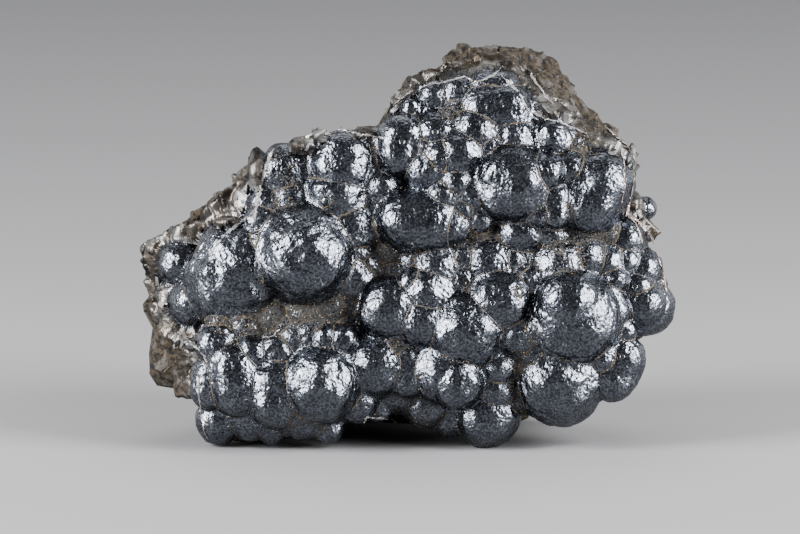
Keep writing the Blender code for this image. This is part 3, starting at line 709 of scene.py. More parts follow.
def broken_flats(spot, size, tilt, step, limit):
    """How far a point rises when each Voronoi cell is a flat with its own tilt and step."""
    cells = outputs_of(node(spot.tree, "ShaderNodeTexVoronoi", spot, repeats(spot, size), 0.0))
    lean = (cells["Color"] - HALF) * (tilt * 2.0)
    slope = limited((spot - cells["Position"]) @ lean, limit * -1.0, limit)
    red = wire(spot.tree, "ShaderNodeSeparateXYZ", cells["Color"])
    return slope + (red - 0.5) * (step * 2.0)


# %% [markdown]
# ## Relief on the bubbles
# A bubble has slow lumps and knobs that fade out at the creases, and small hammered dimples. On the low
# side of some, growth stopped and went on, which left stepped ledges: their height follows the angle from
# the bubble's front as a stair does.

# %% Bubble relief
SEED_STEP = 1.7
DIMPLE_FADE = 0.5 * MM
LEDGE_WANDER = (6.0 * MM, 2.4 * MM, 3.0)
RISE_END, FALL_START = 0.8, 0.82
LOW_SIDE = (0.82, 0.62)


def bubble_relief(skin, given, outward, bed):
    tree = skin.tree
    crease, size = stored(tree, "crease"), stored(tree, "size")
    seed = stored(tree, "first", "INT") * SEED_STEP
    swell = rolling(bed, given["Lump Width"], size * (given["Lump Share"] * 2.0), seed)
    knobs = rolling(bed, given["Knob Width"], given["Knob Height"], seed)
    slow = (swell + knobs) * ramp(crease, 0.0, given["Lump Fade"])
    dents = domes(bed, given["Dimple Width"], given["Dimple Height"], feature="SMOOTH_F1")
    dents = dents * ramp(crease, 0.0, DIMPLE_FADE)
    facing = outward @ tuple(-LOOK)
    along = number("ARCCOSINE", facing) * size + rolling(bed, *LEDGE_WANDER)
    turn = number("FRACT", along / given["Ledge Width"])
    stair = ramp(turn, 0.0, RISE_END) * ramp(turn, FALL_START, 1.0, 1.0, 0.0)
    low_side = ramp(facing, *LOW_SIDE) * stored(tree, "ledged")
    rise = slow + dents + stair * given["Ledge Height"] * low_side
    return rise * (1.0 - stored(tree, "bare"))


# %% [markdown]
# ## Relief on the rock
# Where no ball is near, the rock is bare: large facets with smaller chips on them, and crumbs where it is
# old crust. A fresh break is smoother than the rest. Fine dust lies over all of it.

# %% Rock relief
CRUST_WANDER = (9.0 * MM, 9.0 * MM, 5.0)
FRESH_CALM = 0.85
DUST_WIDTH, DUST_HEIGHT = 0.7 * MM, 0.16 * MM


def rock_relief(skin, given, bed):
    """Stores how much of the rock is crust; returns the skin and how far its rock rises."""
    tree = skin.tree
    depth = stored(tree, "gap") + rolling(bed, *CRUST_WANDER)
    skin = store(skin, "crust", ramp(depth, given["Crust Start"], given["Crust End"]))
    flats, chips = [
        broken_flats(bed, *[given[f"{kind} {size}"] for size in ("Size", "Tilt", "Step", "Limit")])
        for kind in ("Facet", "Chip")
    ]
    crumbs = domes(bed, given["Crumb Size"], given["Crumb Height"]) * stored(tree, "crust")
    rough_share = 1.0 - stored(tree, "fresh") * FRESH_CALM
    broken = flats + (chips + crumbs) * rough_share
    open_rock = ramp(stored(tree, "gap"), given["Break Start"], given["Break End"])
    skin = store(skin, "broken", broken * open_rock)
    dust = domes(bed, DUST_WIDTH, DUST_HEIGHT) * rough_share
    return skin, (blurred(stored(tree, "broken"), 1, 0.6) + dust) * stored(tree, "bare")


# %% [markdown]
# ## The skin tree
# Now the whole surface follows, step by step. The bubbles' relief pushes along the needles, and the
# rock's along a calm normal, so that its flats stay flat.

# %% Build the skin tree and run it
def skin_tree():
    tree, given, end = group(
        "botryoidal skin", "GeometryNodeTree",
        {"Lump": "Geometry", "Nuclei": "Object", "Marks": "Object", "Count": "Int",
         **{name: "Float" for name in SKIN_SIZES}, "Finish": "Material"},
        {"Lump": "Geometry"},
    )
    balls = mesh_of(given["Nuclei"])
    skin = filled(settled(given["Lump"], given, balls), given)
    skin = marked(skin, given, balls)
    bed = stored(tree, "bed", "FLOAT_VECTOR")
    outward = arrow("NORMALIZE", stored(tree, "spoke", "FLOAT_VECTOR"))
    rise = bubble_relief(skin, given, outward, bed)
    skin, broken = rock_relief(skin, given, bed)
    calm = arrow("NORMALIZE", stored(tree, "calm", "FLOAT_VECTOR"))
    skin = smooth(above_ground(moved(skin, outward * rise + calm * broken)))
    finish_group(end, Lump=painted(realized(skin), given["Finish"]))
    return tree


def run_tree(thing, tree, **values):
    """Put a geometry tree on an object, set its inputs by identifier, and keep what it makes."""
    step = thing.modifiers.new(tree.name, "NODES")
    step.node_group = tree
    for item in tree.interface.items_tree:
        if item.in_out == "INPUT" and item.name in values:
            step[item.identifier] = values[item.name]
    return bake_modifiers(thing)


finish = bpy.data.materials.new("goethite")
finish.use_nodes = True
mesh = run_tree(
    lump, skin_tree(), Nuclei=nuclei, Marks=marked_spots, Count=len(rows), Finish=finish, **SKIN_SIZES,
)
print("skin:", triangles(mesh), "triangles")

# %% [markdown]
# ## Fewer triangles where they aren't seen
# Thinning after the relief keeps triangles at the creases and takes them from the flats. The back and the
# underside are rock of little interest, so they give up more of theirs.

# %% Thin the skin
MOST_TRIANGLES = 197000
BACK_DEPTH = 24.0
FRONT_WEIGHT = 0.3


def depth_of(point):
    back = point.y / MM + MIDDLE_DEPTH
    height = point.z / MM - STAND
    return back * math.cos(LEAN) - height * math.sin(LEAN)


thinning = lump.vertex_groups.new(name="thinning")
weights = {}
for vertex in mesh.vertices:
    behind = depth_of(vertex.co) > BACK_DEPTH
    weights.setdefault(1.0 if behind else FRONT_WEIGHT, []).append(vertex.index)
for weight, members in weights.items():
    thinning.add(members, weight, "REPLACE")
thin = lump.modifiers.new("thin", "DECIMATE")
thin.vertex_group = "thinning"
thin.ratio = MOST_TRIANGLES / triangles(mesh)
mesh = bake_modifiers(lump)
lump.vertex_groups.clear()
print("thinned skin:", triangles(mesh), "triangles; kept:", [layer.name for layer in mesh.attributes])

# %% [markdown]
# ## The finish, in three effects
# Clean goethite skin is a dark blue-grey metal mirror, hammered all over by the tips of the needles, with
# painted shade in near-black tiny pits. Dirt lies in the creases as thin tan lines, and as specks on the
# dusty bubbles. The broken rock is satin grey where it is fresh, streaked along the needles, and an earthy
# brown crust where it is old, mottled with near-black patches that are painted cavity shade. Each is a
# shader group that puts out only colours, masks and heights, and the material mixes them by the
# attributes that the skin tree stored. Widths in them are in millimetres.

# %% Hammered skin
STEEL, BRIGHT_STEEL = (0.07, 0.075, 0.086, 1.0), (0.15, 0.16, 0.182, 1.0)
# Near-black painted shade for the inside of the tiny pits.
PIT_SHADE_BLACK = (0.008, 0.008, 0.008, 1.0)
BUMP_WIDTH, FINE_WIDTH, PORE_WIDTH, GRAIN_WIDTH, CLOUD_WIDTH = 0.8, 0.5, 1.7, 0.42, 6.0
BUMP_HEIGHT, FINE_HEIGHT, PORE_HEIGHT = -0.15, 0.12, -0.08
PORE_EDGE, PORE_CHANCE = (0.06, 0.15), 0.45
SKIN_ROUGHNESS, CLOUD_ROUGHNESS, GRAIN_ROUGHNESS = 0.22, 0.06, 0.05


def noise(spot, width, detail=2.0):
    return wire(spot.tree, "ShaderNodeTexNoise", spot, 1.0 / width, detail)


def cells_of(spot, width, **settings):
    return outputs_of(node(spot.tree, "ShaderNodeTexVoronoi", spot, 1.0 / width, 0.0, **settings))


def red_of(colour):
    return wire(colour.tree, "ShaderNodeSeparateXYZ", colour)


def blend(share, first, second):
    """Mix two colours."""
    return wire(share.tree, "ShaderNodeMix", share, first, second, data_type="RGBA")


def mix_value(share, first, second):
    return wire(share.tree, "ShaderNodeMix", share, first, second, data_type="FLOAT")


def hammered_skin():
    tree, given, end = group(
        "hammered skin", "ShaderNodeTree", {"Place": "Vector", "Dark": "Color", "Light": "Color"},
        {"Colour": "Color", "Roughness": "Float", "Height": "Float"},
    )
    spot = given["Place"]
    bumps = cells_of(spot, BUMP_WIDTH, feature="SMOOTH_F1")["Distance"]
    fine = noise(spot, FINE_WIDTH, 1.0)
    pores = cells_of(spot, PORE_WIDTH)
    # The pores dip a little in height, and their near-black colour is painted shade inside them.
    pits_and_shade = ramp(pores["Distance"], *PORE_EDGE, 1.0, 0.0) * (red_of(pores["Color"]) > PORE_CHANCE)
    grain = ramp(noise(spot, GRAIN_WIDTH, 1.0), 0.38, 0.62)
    cloud = ramp(noise(spot, CLOUD_WIDTH), 0.35, 0.7)
    finish_group(
        end,
        Colour=blend(pits_and_shade * 0.9, blend(grain, given["Dark"], given["Light"]), PIT_SHADE_BLACK),
        Roughness=cloud * CLOUD_ROUGHNESS + SKIN_ROUGHNESS + grain * GRAIN_ROUGHNESS,
        Height=bumps * BUMP_HEIGHT + fine * FINE_HEIGHT + pits_and_shade * PORE_HEIGHT,
    )
    return tree


# %% Dirt in the creases
DARK_DIRT, BROWN_DIRT = (0.004, 0.0037, 0.0033, 1.0), (0.03, 0.025, 0.018, 1.0)
OCHRE_DIRT, TAN_LINE = (0.13, 0.085, 0.042, 1.0), (0.13, 0.098, 0.06, 1.0)
WOBBLE_WIDTH, PATCH_WIDTH, SPECK_WIDTH, TONE_WIDTH, DIRT_WIDTH = 1.1, 5.0, 0.42, 0.9, 0.45
LINE_EDGE, BANK_EDGE = (0.06, 0.24), (0.2, 1.5)
BANK_DIRT, DUSTY_DIRT, FLOOR_DIRT = 0.16, 0.15, 0.2
SPECK_BAR = 0.74


def crease_dirt():
    tree, given, end = group(
        "crease dirt", "ShaderNodeTree",
        {"Place": "Vector", "Crease": "Float", "Dusty": "Float", "Floor": "Float"},
        {"Mask": "Float", "Colour": "Color", "Height": "Float"},
    )
    spot = given["Place"]
    near = given["Crease"] + (noise(spot, WOBBLE_WIDTH) - 0.5) * 0.5
    patchy = ramp(noise(spot, PATCH_WIDTH), 0.36, 0.56, 0.25, 1.0)
    thin_line = ramp(near, *LINE_EDGE, 1.0, 0.0) * patchy
    bank = ramp(given["Crease"], *BANK_EDGE, 1.0, 0.0)
    amount = bank * BANK_DIRT + given["Dusty"] * DUSTY_DIRT + given["Floor"] * FLOOR_DIRT
    specks = ramp(noise(spot, SPECK_WIDTH, 3.0) - (SPECK_BAR - amount), 0.0, 0.05)
    mask = number("MAXIMUM", thin_line, specks * 0.85)
    tone = noise(spot, TONE_WIDTH, 4.0)
    colour = blend(ramp(tone, 0.35, 0.6), DARK_DIRT, BROWN_DIRT)
    colour = blend(ramp(tone, 0.6, 0.72), colour, OCHRE_DIRT)
    colour = blend(thin_line * 0.8, colour, TAN_LINE)
    finish_group(end, Mask=mask, Colour=colour, Height=mask * noise(spot, DIRT_WIDTH, 3.0) * 0.4)
    return tree


# %% Broken rock and old crust
FRESH_DARK, FRESH_LIGHT = (0.1, 0.1, 0.102, 1.0), (0.23, 0.227, 0.222, 1.0)
DULL_DARK, DULL_LIGHT = (0.003, 0.0028, 0.0026, 1.0), (0.12, 0.112, 0.104, 1.0)
# The crust's darkest tone is near black: painted cavity shade as well as the crust's own dark brown.
OLD_DARK_AND_CAVITY_SHADE, OLD_BROWN = (0.003, 0.0025, 0.002, 1.0), (0.045, 0.033, 0.021, 1.0)
OLD_GREY, STAIN = (0.07, 0.063, 0.056, 1.0), (0.04, 0.03, 0.02, 1.0)
FLAKE_SHARES = {3.4: 0.4, 1.6: 0.3}  # width of the flakes: how much their tones differ
NEEDLE_WIDTH, BAND_WIDTH = 0.035, 0.4
STAIN_WIDTH, EARTH_WIDTH, GREY_WIDTH, GRIT_WIDTH = 3.0, 1.1, 2.6, 0.5
CRUST_ROUGHNESS, ROCK_ROUGHNESS = 0.85, 0.34
FRESH_METAL, DULL_METAL = 0.35, 0.75


def broken_rock():
    tree, given, end = group(
        "broken rock", "ShaderNodeTree",
        {"Place": "Vector", "Spoke": "Vector", "Crust": "Float", "Fresh": "Float"},
        {"Colour": "Color", "Roughness": "Float", "Metallic": "Float", "Height": "Float"},
    )
    spot, fresh = given["Place"], given["Fresh"]
    heading = arrow("NORMALIZE", given["Spoke"])
    needles = noise(heading, NEEDLE_WIDTH)
    bands = noise(heading * 1.5 + spot * 0.05, BAND_WIDTH)
    streaky = 0.45 - fresh * 0.3
    tone = needles * streaky + fresh * 0.12
    for width, share in FLAKE_SHARES.items():
        tone = tone + red_of(cells_of(spot, width)["Color"]) * share
    tone = ramp(tone + (bands - 0.5) * 0.3, 0.3, 0.75)
    rock = blend(fresh, blend(tone, DULL_DARK, DULL_LIGHT), blend(tone, FRESH_DARK, FRESH_LIGHT))
    rock = blend(ramp(noise(spot, STAIN_WIDTH, 4.0), 0.5, 0.6) * 0.75, rock, STAIN)
    # This mottle mixes the crust's own brown with near-black patches of painted cavity shade.
    earth = noise(spot, EARTH_WIDTH, 5.0)
    old = blend(ramp(earth, 0.4, 0.58), OLD_DARK_AND_CAVITY_SHADE, OLD_BROWN)
    old = blend(ramp(noise(spot, GREY_WIDTH, 4.0), 0.55, 0.62), old, OLD_GREY)
    crust = ramp(given["Crust"] + (earth - 0.5), 0.4, 0.6)
    finish_group(
        end,
        Colour=blend(crust, rock, old),
        Roughness=mix_value(crust, ROCK_ROUGHNESS, CRUST_ROUGHNESS),
        Metallic=mix_value(crust, mix_value(fresh, DULL_METAL, FRESH_METAL), 0.0),
        Height=mix_value(crust, needles * streaky * 0.25, noise(spot, GRIT_WIDTH, 4.0) * 0.4),
    )
    return tree


# %% The goethite material
DIRT_ROUGHNESS = 0.9
VALLEY_EDGE = (1.4, 3.4)


def attribute(tree, name, output="Fac"):
    return wire(tree, "ShaderNodeAttribute", output=output, attribute_name=name)


def goethite_material(material):
    tree = material.node_tree
    spot = wire(tree, "ShaderNodeTexCoord", output="Object") * (1 / MM)
    bare, dusty = attribute(tree, "bare"), attribute(tree, "dusty")
    gap, crease = attribute(tree, "gap") * (1 / MM), attribute(tree, "edge") * (1 / MM)
    skin = use(tree, hammered_skin(), Place=spot, Dark=STEEL, Light=BRIGHT_STEEL)
    dirt = use(
        tree, crease_dirt(), Place=spot, Crease=crease, Dusty=dusty, Floor=attribute(tree, "floor"),
    )
    rock = use(
        tree, broken_rock(), Place=spot, Spoke=attribute(tree, "spoke", "Vector"),
        Crust=attribute(tree, "crust"), Fresh=attribute(tree, "fresh"),
    )
    valley = bare * ramp(gap, *VALLEY_EDGE, 1.0, 0.0) * ramp(dusty, 0.0, 0.35)
    grime = number("MAXIMUM", dirt["Mask"], valley)
    colour = blend(grime, blend(bare, skin["Colour"], rock["Colour"]), dirt["Colour"])
    rough = mix_value(grime, mix_value(bare, skin["Roughness"], rock["Roughness"]), DIRT_ROUGHNESS)
    metal = mix_value(grime, mix_value(bare, 1.0, rock["Metallic"]), 0.0)
    height = mix_value(bare, skin["Height"], rock["Height"]) + dirt["Height"]
    bump = wire(tree, "ShaderNodeBump", Distance=MM, Height=height)
    shader = tree.nodes["Principled BSDF"]
    for name, result in {"Base Color": colour, "Roughness": rough, "Metallic": metal, "Normal": bump}.items():
        plug(result, shader.inputs[name])
    print("material nodes:", len(tree.nodes))


goethite_material(finish)

# %% [markdown]
# ## Bright broken rims
# Where a layer of the crust has split, its edge shows as a thin bright line along the bubbles. It could be
# painted, but an edge catches the light from its own side, so it is made of chips that overlap. Each line
# is a few points across the photo; a ray along the view drops them on the skin, and a chip lies at every
# step, turned along the line, wide in some places and thin in others.

# %% Ridges along the broken rims
RIMS = {  # the width in millimetres, and the points across and up
    "ledge above the left crown": (0.54, [
        (-19.6, 59.2), (-18.4, 61.0), (-16.8, 62.4), (-14.8, 63.4), (-11.8, 63.0), (-8.8, 62.4),
        (-4.2, 61.6)]),
    "shard by the left crown": (0.78, [(-26.2, 59.2), (-27.6, 55.0), (-28.8, 50.5), (-29.8, 45.6)]),
    "lens at the left": (0.42, [(-45.2, 22.8), (-42.8, 21.2), (-40.8, 19.4), (-39.2, 17.2)]),
    "left lower edge": (0.42, [(-41.0, 15.2), (-40.8, 10.2), (-40.6, 7.2), (-40.0, 4.2), (-39.4, 1.6)]),
    "left shoulder": (0.66, [(-38.6, 38.4), (-36.4, 41.4), (-33.4, 44.2), (-30.6, 46.0), (-29.6, 47.6)]),
    "right lip": (0.36, [(44.8, 59.5), (45.8, 58.5), (45.8, 53.9), (45.0, 48.9), (44.5, 46.2)]),
    "right lip behind": (0.27, [(43.6, 59.0), (43.9, 54.0), (43.4, 49.0)]),
    "right rim": (0.36, [(44.9, 49.6), (45.0, 46.0), (46.8, 43.2), (47.4, 41.0)]),
    "right outer rim": (0.42, [(45.0, 46.5), (49.3, 42.2), (50.8, 37.9), (51.8, 34.8), (52.4, 31.2)]),
    "crown right, upper": (0.42, [(25.6, 74.2), (26.8, 72.2), (29.5, 68.5)]),
    "crown right, lower": (0.42, [(23.1, 69.9), (24.8, 66.9), (28.1, 65.5), (31.5, 64.5), (36.1, 62.5)]),
    "crown far right": (0.36, [(40.4, 63.9), (43.0, 61.6), (45.0, 59.7)]),
    "crown left": (0.30, [(-2.0, 68.2), (-0.4, 69.6), (1.2, 70.6)]),
    "crown band": (0.36, [(3.4, 71.4), (5.2, 72.4), (8.2, 72.6), (11.8, 73.8), (13.4, 73.0)]),
    "crown top band": (0.30, [(13.8, 72.6), (16.4, 73.2), (19.2, 75.2)]),
    "bluish shard": (0.54, [(19.5, 74.0), (21.0, 72.2), (22.5, 70.9)]),
    "small facet": (0.48, [(-27.8, 21.9), (-26.4, 22.0), (-25.0, 23.2)]),
    "bottom chip": (0.36, [(-8.4, 4.2), (-7.5, 5.9), (-3.0, 5.4), (-1.5, 4.1)]),
}
RIM_SIZES = {
    "Step": 0.3 * MM, "Sink": 0.12 * MM, "Waver": 0.9 * MM, "Thinnest": 0.12,
    "Chip Length": 0.62 * MM, "Chip Height": 0.4 * MM,
}
NEAR_DEPTH = -15.0
RAY_LENGTH = 0.1
RIM_JOLT = (0.35, 0.2, 0.3)
WAVER_WIDTH, PATCH_WIDTH = 1.6 * MM, 2.2 * MM
RIM_TONES = [(0.26, 0.26, 0.275), (0.36, 0.35, 0.33), (0.42, 0.34, 0.31)]


def onto_the_skin(geometry, skin):
    """Points moved along the view until they meet the skin, its normal there, and whether they met it."""
    cast = outputs_of(node(
        geometry.tree, "GeometryNodeRaycast", mesh_of(skin), Source_Position=position(geometry.tree),
        Ray_Direction=tuple(LOOK), Ray_Length=RAY_LENGTH,
    ))
    met = held(geometry, spot=cast["Hit Position"], upright=cast["Hit Normal"], found=cast["Is Hit"])
    landed = wire(geometry.tree, "GeometryNodeSetPosition", met["Geometry"], None, met["spot"])
    return landed, met["upright"], met["found"]


def aligned(tree, turn, direction, **settings):
    return wire(tree, "FunctionNodeAlignRotationToVector", turn, 1.0, direction, **settings)


def jolted(turn, most):
    """A turn with a random turn added in its own axes."""
    least = tuple(-part for part in most)
    jolt = wire(turn.tree, "FunctionNodeRandomValue", least, most, data_type="FLOAT_VECTOR")
    return wire(turn.tree, "FunctionNodeRotateRotation", turn, jolt, rotation_space="LOCAL")


def copies(points, shape, turn, size, where=None):
    """A copy of the shape at every point, as real mesh."""
    feeds = (points, where, shape)
    return realized(wire(points.tree, "GeometryNodeInstanceOnPoints", *feeds, Rotation=turn, Scale=size))


def block(tree, scale=(1.0, 0.7, 0.26), push=1.8):
    """A wedge-like block: a cube whose corners are pushed about."""
    cube = wire(tree, "GeometryNodeMeshCube")
    shift = wire(tree, "ShaderNodeTexNoise", position(tree), 1.3, 0.0, output="Color")
    return wire(tree, "GeometryNodeTransform", moved(cube, (shift - HALF) * push), Scale=scale)


def rim_tree():
    tree, given, end = group(
        "broken rims", "GeometryNodeTree",
        {"Lines": "Geometry", "Skin": "Object", **{name: "Float" for name in RIM_SIZES},
         "Finish": "Material"},
        {"Rims": "Geometry"},
    )
    lines = wire(tree, "GeometryNodeMeshToCurve", given["Lines"])
    lines = wire(tree, "GeometryNodeResampleCurve", lines, mode="LENGTH", Length=given["Step"])
    waver = wire(tree, "ShaderNodeTexNoise", position(tree), 1.0 / WAVER_WIDTH, 2.0, output="Color")
    lines, upright, found = onto_the_skin(moved(lines, (waver - HALF) * given["Waver"]), given["Skin"])
    lines = wire(tree, "GeometryNodeDeleteGeometry", lines, 1.0 - found)
    lines = moved(lines, upright * (given["Sink"] * -1.0))
    patchy = number("MAXIMUM", ramp(noise(position(tree), PATCH_WIDTH), 0.35, 0.6), given["Thinnest"])
    sides = (given["Chip Length"], stored(tree, "wide") * patchy, given["Chip Height"])
    along = wire(tree, "GeometryNodeInputTangent")
    kept = held(lines, along=along, shape=wire(tree, "ShaderNodeCombineXYZ", *sides), upright=upright)
    turn = aligned(tree, None, kept["upright"], axis="Z")
    turn = aligned(tree, turn, kept["along"], axis="X", pivot_axis="Z")
    turn = jolted(turn, RIM_JOLT)
    points = wire(tree, "GeometryNodeCurveToPoints", kept["Geometry"], mode="EVALUATED")
    ridge = copies(points, block(tree, (1.0, 1.0, 1.0), 1.4), turn, kept["shape"])
    finish_group(end, Rims=painted(above_ground(ridge), given["Finish"]))
    return tree


def satin(name, tones, roughness, metallic):
    """A plain satin finish whose colour goes by a tone stored on the shapes."""
    made = bpy.data.materials.new(name)
    made.use_nodes = True
    tree = made.node_tree
    by_tone = node(tree, "ShaderNodeValToRGB", attribute(tree, "tone"))
    colours = by_tone.color_ramp
    while len(colours.elements) < len(tones):
        colours.elements.new(0.5)
    for count, (element, tone) in enumerate(zip(colours.elements, tones)):
        element.position = count / max(1, len(tones) - 1)
        element.color = (*tone, 1.0)
    shader = tree.nodes["Principled BSDF"]
    plug(Wire(by_tone.outputs["Color"]), shader.inputs["Base Color"])
    plug(roughness, shader.inputs["Roughness"])
    plug(metallic, shader.inputs["Metallic"])
    return made


line_points, line_edges, widths, tones = [], [], [], []
for count, (label, (wide, points)) in enumerate(RIMS.items()):
    start = len(line_points)
    line_points += [place(across, up, NEAR_DEPTH) for across, up in points]
    line_edges += [(start + k, start + k + 1) for k in range(len(points) - 1)]
    widths += [wide * MM] * len(points)
    tones += [0.9 if label.startswith("right") else 0.2 + 0.1 * (count % 4)] * len(points)
rims = new_object("broken_rims")
rims.data.from_pydata(line_points, line_edges, [])
for label, values in (("wide", widths), ("tone", tones)):
    rims.data.attributes.new(label, "FLOAT", "POINT").data.foreach_set("value", values)
rim_finish = satin("broken rim", RIM_TONES, 0.3, 0.35)
mesh = run_tree(rims, rim_tree(), Skin=lump, Finish=rim_finish, **RIM_SIZES)
print("rims:", len(RIMS), "lines,", triangles(mesh), "triangles")

# %% [markdown]
# ## Ring pits
# A few bubbles carry a tiny crater: a bright ring about a millimetre wide around a dark hole. Each is a
# small ring laid on the skin where the photo shows it, with a near-black bead sunk in its middle as painted
# shade for the hole.

# %% Rings on the bubbles
PITS = [
    (-35.2, 18.2), (-0.4, 60.6), (6.2, 62.6), (8.6, 58.0), (4.0, 59.8), (-25.2, 41.0), (-14.8, 55.8),
    (43.4, 18.0), (46.0, 31.8), (17.6, 28.6), (-33.6, 37.4), (26.0, 55.2),
]
PIT_SIZES = {"Ring Radius": 0.46 * MM, "Ring Thickness": 0.13 * MM, "Shade Bead Radius": 0.36 * MM}
SMALLEST_PIT, LARGEST_PIT = 0.75, 1.15
RING_SIDES, PROFILE_SIDES = 20, 8
SHADE_BEAD_SHAPE = (1.0, 1.0, 0.3)


def pit_tree():
    tree, given, end = group(
        "ring pits", "GeometryNodeTree",
        {"Spots": "Geometry", "Skin": "Object", **{name: "Float" for name in PIT_SIZES},
         "Ring Finish": "Material", "Hole Shade Finish": "Material"},
        {"Pits": "Geometry"},
    )
    spots, upright, found = onto_the_skin(
        wire(tree, "GeometryNodeMeshToPoints", given["Spots"]), given["Skin"]
    )
    ring = wire(tree, "GeometryNodeCurvePrimitiveCircle", RING_SIDES, Radius=given["Ring Radius"])
    profile = wire(tree, "GeometryNodeCurvePrimitiveCircle", PROFILE_SIDES, Radius=given["Ring Thickness"])
    ring = painted(smooth(wire(tree, "GeometryNodeCurveToMesh", ring, profile)), given["Ring Finish"])
    # A flattened near-black bead in the ring's middle is painted shade for the hole.
    shade_bead = wire(tree, "GeometryNodeMeshIcoSphere", given["Shade Bead Radius"], 2)
    shade_bead = wire(tree, "GeometryNodeTransform", shade_bead, Scale=SHADE_BEAD_SHAPE)
    both = tree.nodes.new("GeometryNodeJoinGeometry")
    for piece in (ring, painted(shade_bead, given["Hole Shade Finish"])):
        plug(piece, both.inputs[0])
    size = wire(tree, "FunctionNodeRandomValue", SMALLEST_PIT, LARGEST_PIT, data_type="FLOAT")
    turn = aligned(tree, None, upright, axis="Z")
    finish_group(end, Pits=copies(spots, Wire(both.outputs[0]), turn, size, where=found))
    return tree


pits = new_object("ring_pits")
pits.data.from_pydata([place(across, up, NEAR_DEPTH) for across, up in PITS], [], [])
finishes = {
    "Ring Finish": satin("pit ring", [(0.2, 0.21, 0.235)], 0.25, 1.0),
    # This near-black finish is painted shade inside the pit.
    "Hole Shade Finish": satin("pit hole shade", [(0.006, 0.006, 0.006)], 0.6, 0.0),
}
mesh = run_tree(pits, pit_tree(), Skin=lump, **PIT_SIZES, **finishes)
print("pits:", len(PITS), "rings,", triangles(mesh), "triangles")

# %% [markdown]
# ## Grains and splinters
# Ochre dust has collected in the creases and valleys, and the freshly broken ends are covered with angular
# splinters. Both are strewn over the skin by one tree: points fall more thickly where a stored mask is
# high, and each gets a small shape with its own turn, size and tone.

# %% Strew small shapes over the skin
FACES_US = (-0.2, 0.3)
TUMBLE = (0.5, 0.5, 3.1)
PER_SQUARE_METRE = 1e6
GRAIN_BANK = (0.1 * MM, 0.7 * MM)


def strewn_tree(name, shape, mask, **kept):
    tree, given, end = group(
        name, "GeometryNodeTree",
        {"Empty": "Geometry", "Skin": "Object", "Per Square Millimetre": "Float", "Smallest": "Float",
         "Largest": "Float", "Seed": "Int", "Finish": "Material"},
        {"Shapes": "Geometry"},
    )
    density = mask(tree) * ramp(normal(tree) @ tuple(-LOOK), *FACES_US)
    density = density * (given["Per Square Millimetre"] * PER_SQUARE_METRE)
    spread = outputs_of(node(
        tree, "GeometryNodeDistributePointsOnFaces", mesh_of(given["Skin"]),
        Density=density, Seed=given["Seed"],
    ))
    points = store(spread["Points"], "tone", wire(tree, "FunctionNodeRandomValue", data_type="FLOAT"))
    for label, value in kept.items():
        points = store(points, label, value)
    span = (given["Smallest"], given["Largest"], None, given["Seed"])
    size = wire(tree, "FunctionNodeRandomValue", *span, data_type="FLOAT")
    turn = jolted(spread["Rotation"], TUMBLE)
    shapes = copies(points, shape(tree), turn, size)
    finish_group(end, Shapes=painted(above_ground(shapes), given["Finish"]))
    return tree


def grain(tree):
    return wire(tree, "GeometryNodeMeshIcoSphere", 0.5, 1)


def dusty_mask(tree):
    """Grains lie in creases everywhere, and all over the dusty valleys."""
    in_crease = ramp(stored(tree, "edge"), *GRAIN_BANK, 0.5, 0.0) * (1.0 - stored(tree, "bare"))
    in_valley = number("MAXIMUM", stored(tree, "dusty") * 0.5, stored(tree, "floor"))
    return number("MAXIMUM", in_crease, in_valley)


def fresh_mask(tree):
    return stored(tree, "fresh") * ramp(stored(tree, "bare"), 0.5, 1.0)


# %% Dust and splinters
OCHRES = [
    (0.012, 0.01, 0.008), (0.03, 0.022, 0.014), (0.08, 0.055, 0.032), (0.26, 0.17, 0.08), (0.38, 0.32, 0.25),
]
ON_A_SPLINTER = {"bare": 1.0, "fresh": 1.0, "crust": 0.0, "gap": 0.01, "edge": 0.01, "dusty": 0.0}

dust = new_object("dust_grains")
mesh = run_tree(
    dust, strewn_tree("dust grains", grain, dusty_mask), Skin=lump, Smallest=0.1 * MM, Largest=0.3 * MM,
    Seed=4, Finish=satin("dust", OCHRES, 0.9, 0.0), **{"Per Square Millimetre": 2.0},
)
print("dust:", triangles(mesh), "triangles")
splinters = new_object("splinters")
mesh = run_tree(
    splinters, strewn_tree("splinters", block, fresh_mask, **ON_A_SPLINTER), Skin=lump, Smallest=0.8 * MM,
    Largest=2.1 * MM, Seed=9, Finish=finish, **{"Per Square Millimetre": 0.25},
)
print("splinters:", triangles(mesh), "triangles")

# %% [markdown]
# ## Studio
# The lump stands on a plain pale floor. The photo shows two upright highlights on every bubble, one on
# each side and a little above its middle, so two tall softboxes stand left and right of the camera. A weak
# light from above and two from behind keep the rock's edges readable. The camera looks down by ten degrees
# from far away, as in the photo.

# %% Floor and camera
VIEW_DISTANCE = 1.5
FRAME_WIDTH = 0.16
FRAME_MIDDLE = place(-0.8, 35.8, 15)
FLOOR_GREY, FLOOR_ROUGHNESS = (0.24, 0.24, 0.246, 1), 0.7

bm = bmesh.new()
bmesh.ops.create_grid(bm, x_segments=1, y_segments=1, size=3.0)
floor = new_object("floor")
bm.to_mesh(floor.data)
bm.free()
pale = bpy.data.materials.new("pale floor")
pale.use_nodes = True
plug(FLOOR_GREY, pale.node_tree.nodes["Principled BSDF"].inputs["Base Color"])
plug(FLOOR_ROUGHNESS, pale.node_tree.nodes["Principled BSDF"].inputs["Roughness"])
floor.data.materials.append(pale)

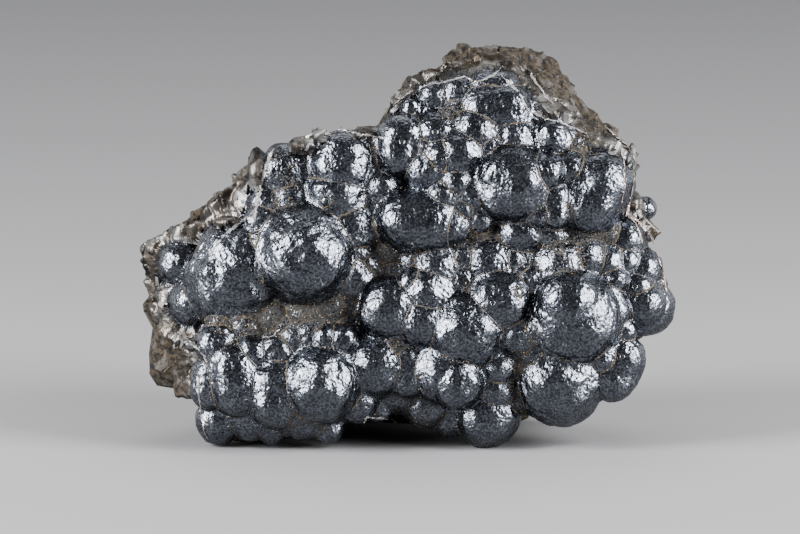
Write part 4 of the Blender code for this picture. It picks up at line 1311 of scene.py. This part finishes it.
camera = bpy.data.objects.new("camera", bpy.data.cameras.new("camera"))
camera.data.lens = camera.data.sensor_width * VIEW_DISTANCE / FRAME_WIDTH
camera.data.clip_end = 20
camera.location = FRAME_MIDDLE - LOOK * VIEW_DISTANCE
camera.rotation_euler = LOOK.to_track_quat("-Z", "Y").to_euler()
scene = bpy.context.scene
scene.collection.objects.link(camera)
scene.camera = camera
print("lens:", round(camera.data.lens), "mm")

# %% Lights
LIGHTS = {  # azimuth, height, distance, width, tall, power
    "left softbox": (-66, 22, 0.6, 0.26, 0.48, 15), "right softbox": (68, 22, 0.6, 0.26, 0.48, 15),
    "top softbox": (180, 60, 0.9, 0.6, 0.6, 3.5), "left rear fill": (-128, 18, 0.9, 0.8, 0.7, 3),
    "right rear fill": (128, 18, 0.9, 0.8, 0.7, 3),
}
AIM = Vector((0, 0, 0.035))
ROOM_GREY = (0.34, 0.34, 0.352, 1)


def softbox(name, azimuth, height, distance, width, tall, power):
    """A soft light at an angle from the camera's side, aimed at the lump."""
    light = bpy.data.lights.new(name, "AREA")
    light.shape = "RECTANGLE"
    light.size, light.size_y, light.energy = width, tall, power
    turn, lift = math.radians(azimuth), math.radians(height)
    out = Vector((math.sin(turn) * math.cos(lift), -math.cos(turn) * math.cos(lift), math.sin(lift)))
    box = bpy.data.objects.new(name, light)
    box.location = out * distance + AIM
    box.rotation_euler = (-out).to_track_quat("-Z", "Y").to_euler()
    scene.collection.objects.link(box)


for name, values in LIGHTS.items():
    softbox(name, *values)
world = bpy.data.worlds.new("dim room")
world.use_nodes = True
plug(ROOM_GREY, world.node_tree.nodes["Background"].inputs["Color"])
scene.world = world
scene.view_settings.look = "AgX - Medium High Contrast"
scene.view_settings.exposure = -0.5
print("lights:", len(LIGHTS))

# %% [markdown]
# ## Hand over
# Every shape above belongs to the one solid: it rides on the part's body and stands in for the node's own
# mesh. The floor is only the stage.

# %% Hand over
for piece in (lump, rims, pits, dust, splinters):
    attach(piece, "root")
    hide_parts("goethite")
